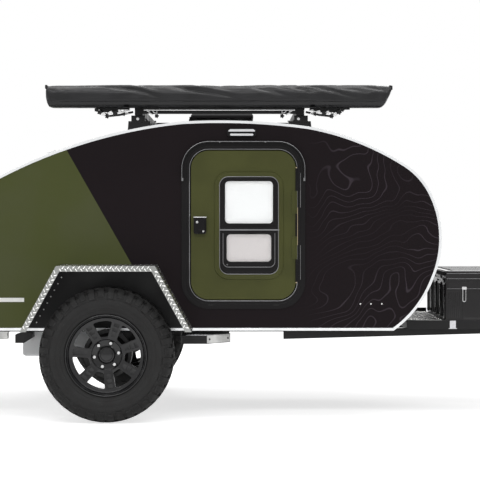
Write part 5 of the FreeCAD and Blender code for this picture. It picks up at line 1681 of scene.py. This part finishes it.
def makeHatchHardware():
    bm = bmesh.new()
    place = rearPlaceOn(hatchTree, 0.0, hatchParts["handleZ"])
    # dished seat, folding handle and lock
    addRing(bm, 0, 0, 0.118, 0.066, 0.012, 0.007, -0.0015, 0.0034, place, 0, 6)
    addTile(bm, (0, 0, 0.119, 0.067, 0.012, 6), -0.0012, 0.0008, place, 0, 2)
    addTile(bm, (0, -0.008, 0.092, 0.024, 0.009, 5), 0.0006, 0.0105, place, 0.0036, 0, 3)
    addTile(bm, (0, 0.018, 0.026, 0.020, 0.006, 4), 0.0006, 0.0080, place, 0.0024, 0, 3)
    addTurned(bm, [(0.0078, 0.001), (0.0078, 0.0100), (0.0066, 0.0112), (0.0040, 0.0112), (0.0036, 0.0098),
                   (0, 0.0098)],
              place @ shift(0, 0.018, 0), 24, 1)
    for x in (-0.054, 0.054):
        for y in (-0.028, 0.028):
            addScrew(bm, place @ shift(x, y, 0.0030), 0.0034, 0.0020, 1, "dome", 12)
    for y in hatchParts["catches"]:      # compression catches near the corners
        place = rearPlaceOn(hatchTree, y, hatchParts["catchZ"])
        addTurned(bm, [(0.026, -0.001), (0.026, 0.0034), (0.022, 0.0052), (0.015, 0.0052), (0.0135, 0.0036),
                       (0, 0.0036)],
                  place, 32, 0)
        addTile(bm, (0, 0, 0.024, 0.007, 0.003, 3), 0.0034, 0.0082, place, 0.0012, 1)
    makePiece("hatchHardware", bm, ["blackPlastic", "fixingSteel", "matteBlack"], "hatch")
    # strip along the foot of the hatch, with a button at each end
    bm = bmesh.new()
    for k in range(hatchParts["footCount"]):
        place = rearPlaceOn(hatchTree, hatchParts["footFrom"] + hatchParts["footPitch"] * k,
                            hatchParts["footZ"])
        if k in (0, hatchParts["footCount"] - 1):
            addTurned(bm, [(0.009, -0.0005), (0.009, 0.0018), (0.0070, 0.0030), (0, 0.0030)], place, 20, 0)
        else:
            addTile(bm, (0, 0, 0.196, 0.012, 0.003, 3), -0.0005, 0.0016, place, 0.0006, 1)
    makePiece("hatchFoot", bm, ["whiteVinyl", "tyreRubber"], "hatch")


rearParts = {"plateZ": 0.560, "plate": (0.300, 0.100), "lensY": (-0.590, 0.590), "lensZ": 0.576, "lensBars": 9}


def makeRearFittings():
    bm = bmesh.new()
    place = rearPlaceOn(rearTree, 0.0, rearParts["plateZ"])
    wide, tall = rearParts["plate"]
    back = rectangle(0, 0, wide, tall, 0.008, 4)
    addSlab(bm, back, -0.001, 0.0030, place, 0.0010, 0)
    addFrame(bm, back, rectangle(0, 0, wide - 0.012, tall - 0.012, 0.004, 4), 0.0028, 0.0052, place, 0)
    addTile(bm, (0, 0, wide - 0.014, tall - 0.014, 0.004, 4), 0.0028, 0.0036, place, 0.0003, 1)
    for x in (-0.120, 0.120):
        addScrew(bm, place @ shift(x, 0.030, 0.0034), 0.0046, 0.0026, 2)
    for x in (-0.050, 0.050):    # a lamp each side above the plate
        addTile(bm, (x, 0.060, 0.044, 0.014, 0.005, 4), -0.001, 0.0085, place, 0.0030, 0, 3)
        addTile(bm, (x, 0.0555, 0.030, 0.005, 0.002, 3), 0.0015, 0.0080, place, 0.0006, 3)
    lensTree = surfaceOf("tail_lights")
    for y in rearParts["lensY"]:
        here = rearPlaceOn(lensTree, y, rearParts["lensZ"])
        addFrame(bm, rectangle(0, 0, 0.150, 0.066, 0.008, 5), rectangle(0, 0, 0.139, 0.056, 0.004, 5), -0.0115,
                 -0.0002, here, 0, 0.002)
        for k in range(rearParts["lensBars"]):
            x = -0.062 + k * 0.0155
            addBlock(bm, (x - 0.0008, -0.025, -0.0100), (x + 0.0008, 0.025, -0.0090), here, 0, 1)
        addBlock(bm, (-0.0015, -0.0272, -0.011), (0.0015, 0.0272, -0.0001), here, 0, 0)
    makePiece("rearFittings", bm, ["blackPlastic", "whiteVinyl", "fixingSteel", "lampWhite"], "trailer")


vent = {
    "middle": -0.1835, "top": 1.716, "ribs": 5, "ribPitch": 0.052, "curbY": 0.1786,
    "louvres": (1.6590, 1.6655, 1.6720),
    "flangeY": 0.199, "flangeScrews": (-0.365, -0.275, -0.187, -0.098, -0.010),
}


def makeVentLid():
    bm = bmesh.new()
    middle, top = vent["middle"], vent["top"]
    flat = shift(0, 0, top)
    addFrame(bm, rectangle(middle, 0, 0.318, 0.322, 0.020, 6), rectangle(middle, 0, 0.300, 0.304, 0.014, 6),
             -0.0005, 0.0036, flat, 0, 0.0016)
    for k in range(vent["ribs"]):
        addTile(bm, (middle, -0.104 + vent["ribPitch"] * k, 0.262, 0.012, 0.005, 4), -0.0005, 0.0034, flat,
                0.0016, 0)
    for x in (middle - 0.142, middle + 0.142):
        for y in (-0.144, 0.144):
            addScrew(bm, shift(x, y, top + 0.0002), 0.0052, 0.0030, 1)
    makePiece("ventLidRibs", bm, ["blackPlastic", "fixingSteel"], "roof_vent_lid")
    bm = bmesh.new()      # louvres round the curb under the lid, and screws in its flange
    for z in vent["louvres"]:
        for y in (-vent["curbY"], vent["curbY"]):
            addBlock(bm, (-0.360, y - 0.003, z), (-0.014, y + 0.003, z + 0.0024), None, 0.0008, 0)
    curbTree = surfaceOf("roof_vent_base")
    for x in vent["flangeScrews"]:
        for y in (-vent["flangeY"], vent["flangeY"]):
            above = (x, y, 2.0)
            z = (meet(curbTree, above) or meet(roofTree, above)).z
            addScrew(bm, shift(x, y, z), 0.0044, 0.0026, 1)
    makePiece("ventCurb", bm, ["blackPlastic", "fixingSteel"], "trailer")


galley = {
    "half": 0.684, "probeY": 0.10, "worktopX": -1.78, "shelfX": -1.20, "railHalf": 0.50, "railOut": 0.012,
    "railDrop": 0.030, "hangers": (-0.50, -0.166, 0.166, 0.50), "hooks": (-0.40, -0.30, 0.30, 0.40),
    "pulls": (-0.46, 0.0, 0.46),
}


def makeGalleyEdges():
    # dark edging on the boards, with a rail and hooks under the shelf and pulls on the worktop
    bm = bmesh.new()
    half, y = galley["half"], galley["probeY"]
    worktop = meet(cabinetTree, (galley["worktopX"], y, 1.5)).z
    front = meet(cabinetTree, (-2.4, y, worktop - 0.005), (1, 0, 0)).x
    shelf = meet(cabinetTree, (galley["shelfX"], y, 1.5)).z
    edge = meet(cabinetTree, (-2.4, y, shelf + 0.010), (1, 0, 0))
    edge = edge.x if edge else -1.3
    for x, top, depth in ((front, worktop, 0.0170), (edge, shelf, 0.014)):
        addBlock(bm, (x - 0.0020, -half, top - depth), (x + 0.0002, half, top - 0.0006), None, 0.0006, 0)
    railX, railZ, reach = edge - galley["railOut"], shelf - galley["railDrop"], galley["railHalf"]
    addTube(bm, [(railX, -reach + 2 * reach * k / 20, railZ) for k in range(21)], 0.004, 10, 1)
    for y in galley["hangers"]:
        addTube(bm, [(railX, y, railZ), (edge - 0.004, y, shelf - 0.018), (edge + 0.004, y, shelf - 0.016)],
                0.0032, 8, 1)
    for y in galley["hooks"]:
        curl = [(railX, y + 0.009 * math.sin(a), shelf - 0.052 + 0.012 * math.cos(a)) for a in (0.0, 0.8, 1.6,
                                                                                                2.4, 3.2)]
        addTube(bm, [(railX, y, shelf - 0.034)] + curl, 0.0016, 8, 1)
    for y in galley["pulls"]:      # finger pulls on the worktop's edge
        addTile(bm, (y, worktop - 0.0088, 0.090, 0.009, 0.004, 4), 0.0016, 0.0052, endPlace(front, -1), 0.0016,
                1)
    makePiece("galleyEdges", bm, ["matteBlack", "fixingSteel"], "trailer")


makeHatchHardware()
makeRearFittings()
makeVentLid()
makeGalleyEdges()
print("rear and roof fittings made")

step = {"back": -0.397, "bend": -0.262, "front": -0.132, "outer": 0.790, "inner": 0.653, "foot": 0.419,
        "plate": 0.0016, "middleY": 0.720, "bars": 6, "barPitch": 0.018}


def makeStepPlates():
    bm = bmesh.new()
    stepTree = surfaceOf("outriggers")
    for side in (-1, 1):
        tread = meet(stepTree, (step["bend"], side * step["middleY"], 0.60)).z
        plan = [(step["back"] + 0.020, side * (step["outer"] - 0.006)),
                (step["bend"] - 0.002, side * (step["outer"] - 0.006)),
                (step["front"] - 0.006, side * (step["inner"] + 0.004)),
                (step["back"] + 0.020, side * (step["inner"] + 0.004))]
        addSlab(bm, plan if side > 0 else plan[::-1], tread - 0.0004, tread + step["plate"], Matrix.Identity(4),
                0.0006, 0)
        for k in range(step["bars"]):       # grip bars across the tread
            x = step["back"] + 0.034 + step["barPitch"] * k
            y = side * step["middleY"]
            addBlock(bm, (x, y - 0.058, tread + 0.0010), (x + 0.006, y + 0.058, tread + 0.0034), None, 0.0008,
                     0)
        start = Vector((step["bend"], side * step["outer"], 0))
        end = Vector((step["front"], side * step["inner"], 0))
        along = (end - start).normalized()
        up = Vector((0, 0, 1))
        out = along.cross(up) * (1 if along.cross(up).x > 0 else -1)      # it faces the front
        place = Matrix.Translation((start + end) / 2) @ frameOf(along, up, out)
        half = (end - start).length / 2
        addTile(bm, (0, (step["foot"] + tread) / 2, 2 * half - 0.004, tread - step["foot"], 0.004, 3), -0.0004,
                step["plate"], place, 0.0005, 1)
        for x in (-half + 0.022, half - 0.022):
            addScrew(bm, place @ shift(x, (step["foot"] + tread) / 2, step["plate"]), 0.0060, 0.0030, 2)
        addBlock(bm, (step["back"] + 0.180, side * 0.640 - 0.008, tread),
                 (step["front"] - 0.006, side * 0.640 + 0.008, 0.4746), None, 0.0008, 2)
    makePiece("stepPlates", bm, ["satinGrey", "zincPlate", "powderBlack"], "trailer")


tongue = {
    "jackX": 1.670, "rivetY": 0.0338, "gripY": 0.1015, "gripRadius": 0.0150, "gripRings": 9,
    "bolts": ((1.715, 0.052), (1.715, -0.052), (1.800, 0.036), (1.800, -0.036), (1.640, 0.075),
              (1.640, -0.075)),
    "leverX": 1.905, "leverLong": 0.094, "pinX": 1.945,
}


def makeTongueFittings():
    bm = bmesh.new()
    jackX = tongue["jackX"]
    housing = surfaceOf("jack_housing")
    headTop = meet(housing, (jackX, 0, 1.2)).z
    # cap, rivets and a rubber grip on the jack
    addTile(bm, (jackX, 0, 0.060, 0.060, 0.008, 4), -0.0004, 0.0040, shift(0, 0, headTop), 0.0020, 0, 3)
    addTurned(bm, [(0.012, 0), (0.012, 0.0020), (0.009, 0.0036), (0, 0.0036)],
              shift(jackX, 0, headTop + 0.0036), 20, 2)
    for side in (-1, 1):
        for x in (-0.022, 0.022):
            addScrew(bm, shift(jackX + x, side * tongue["rivetY"], headTop - 0.012) @ Matrix.Rotation(
                side * -math.pi / 2, 4, "X"), 0.0040, 0.0026, 2)
    gripZ = meet(housing, (jackX, 0.150, 1.2)).z - 0.013
    r = tongue["gripRadius"]
    grip = [(0.0128, 0), (r, 0.002)]
    for k in range(tongue["gripRings"]):
        y = 0.008 + 0.0095 * k
        grip += [(r, y), (r - 0.0008, y + 0.0020), (r - 0.0008, y + 0.0040), (r, y + 0.0060)]
    grip += [(r, 0.0950), (0.0120, 0.0985), (0, 0.0990)]
    addTurned(bm, grip, shift(jackX, tongue["gripY"], gripZ) @ Matrix.Rotation(-math.pi / 2, 4, "X"), 28, 1)
    # latch, pins and bolts on the coupler
    coupler = surfaceOf("coupler")
    for x, y in tongue["bolts"]:
        spot = meet(coupler, (x, y, 0.8))
        if spot:
            addTurned(bm, [(0.0130, -0.0002), (0.0130, 0.0016), (0.0105, 0.0022), (0.0070, 0.0022)],
                      Matrix.Translation(spot), 20, 2)
            addTurned(bm, [(0.0085, 0.0010), (0.0085, 0.0070), (0.0072, 0.0082), (0, 0.0082)],
                      Matrix.Translation(spot), 6, 2)
    lever = meet(coupler, (1.900, 0, 0.8))
    addTile(bm, (tongue["leverX"], 0, tongue["leverLong"], 0.026, 0.010, 5), -0.0006, 0.0040,
            shift(0, 0, lever.z), 0.0018, 0, 3)
    for side in (-1, 1):
        addTurned(bm, [(0.0075, -0.001), (0.0075, 0.0040), (0.0060, 0.0052), (0, 0.0052)],
                  shift(tongue["pinX"], side * 0.0098, lever.z - 0.014) @ Matrix.Rotation(side * -math.pi / 2,
                                                                                          4, "X"),
                  18, 2)
    makePiece("tongueFittings", bm, ["powderBlack", "tyreRubber", "zincPlate"], "trailer")


makeStepPlates()
makeTongueFittings()
print("step and tongue fittings made")

size = {"cad": [list(map(float, corner)) for corner in cadBox],
        "visual": [list(map(float, corner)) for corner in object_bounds()]}
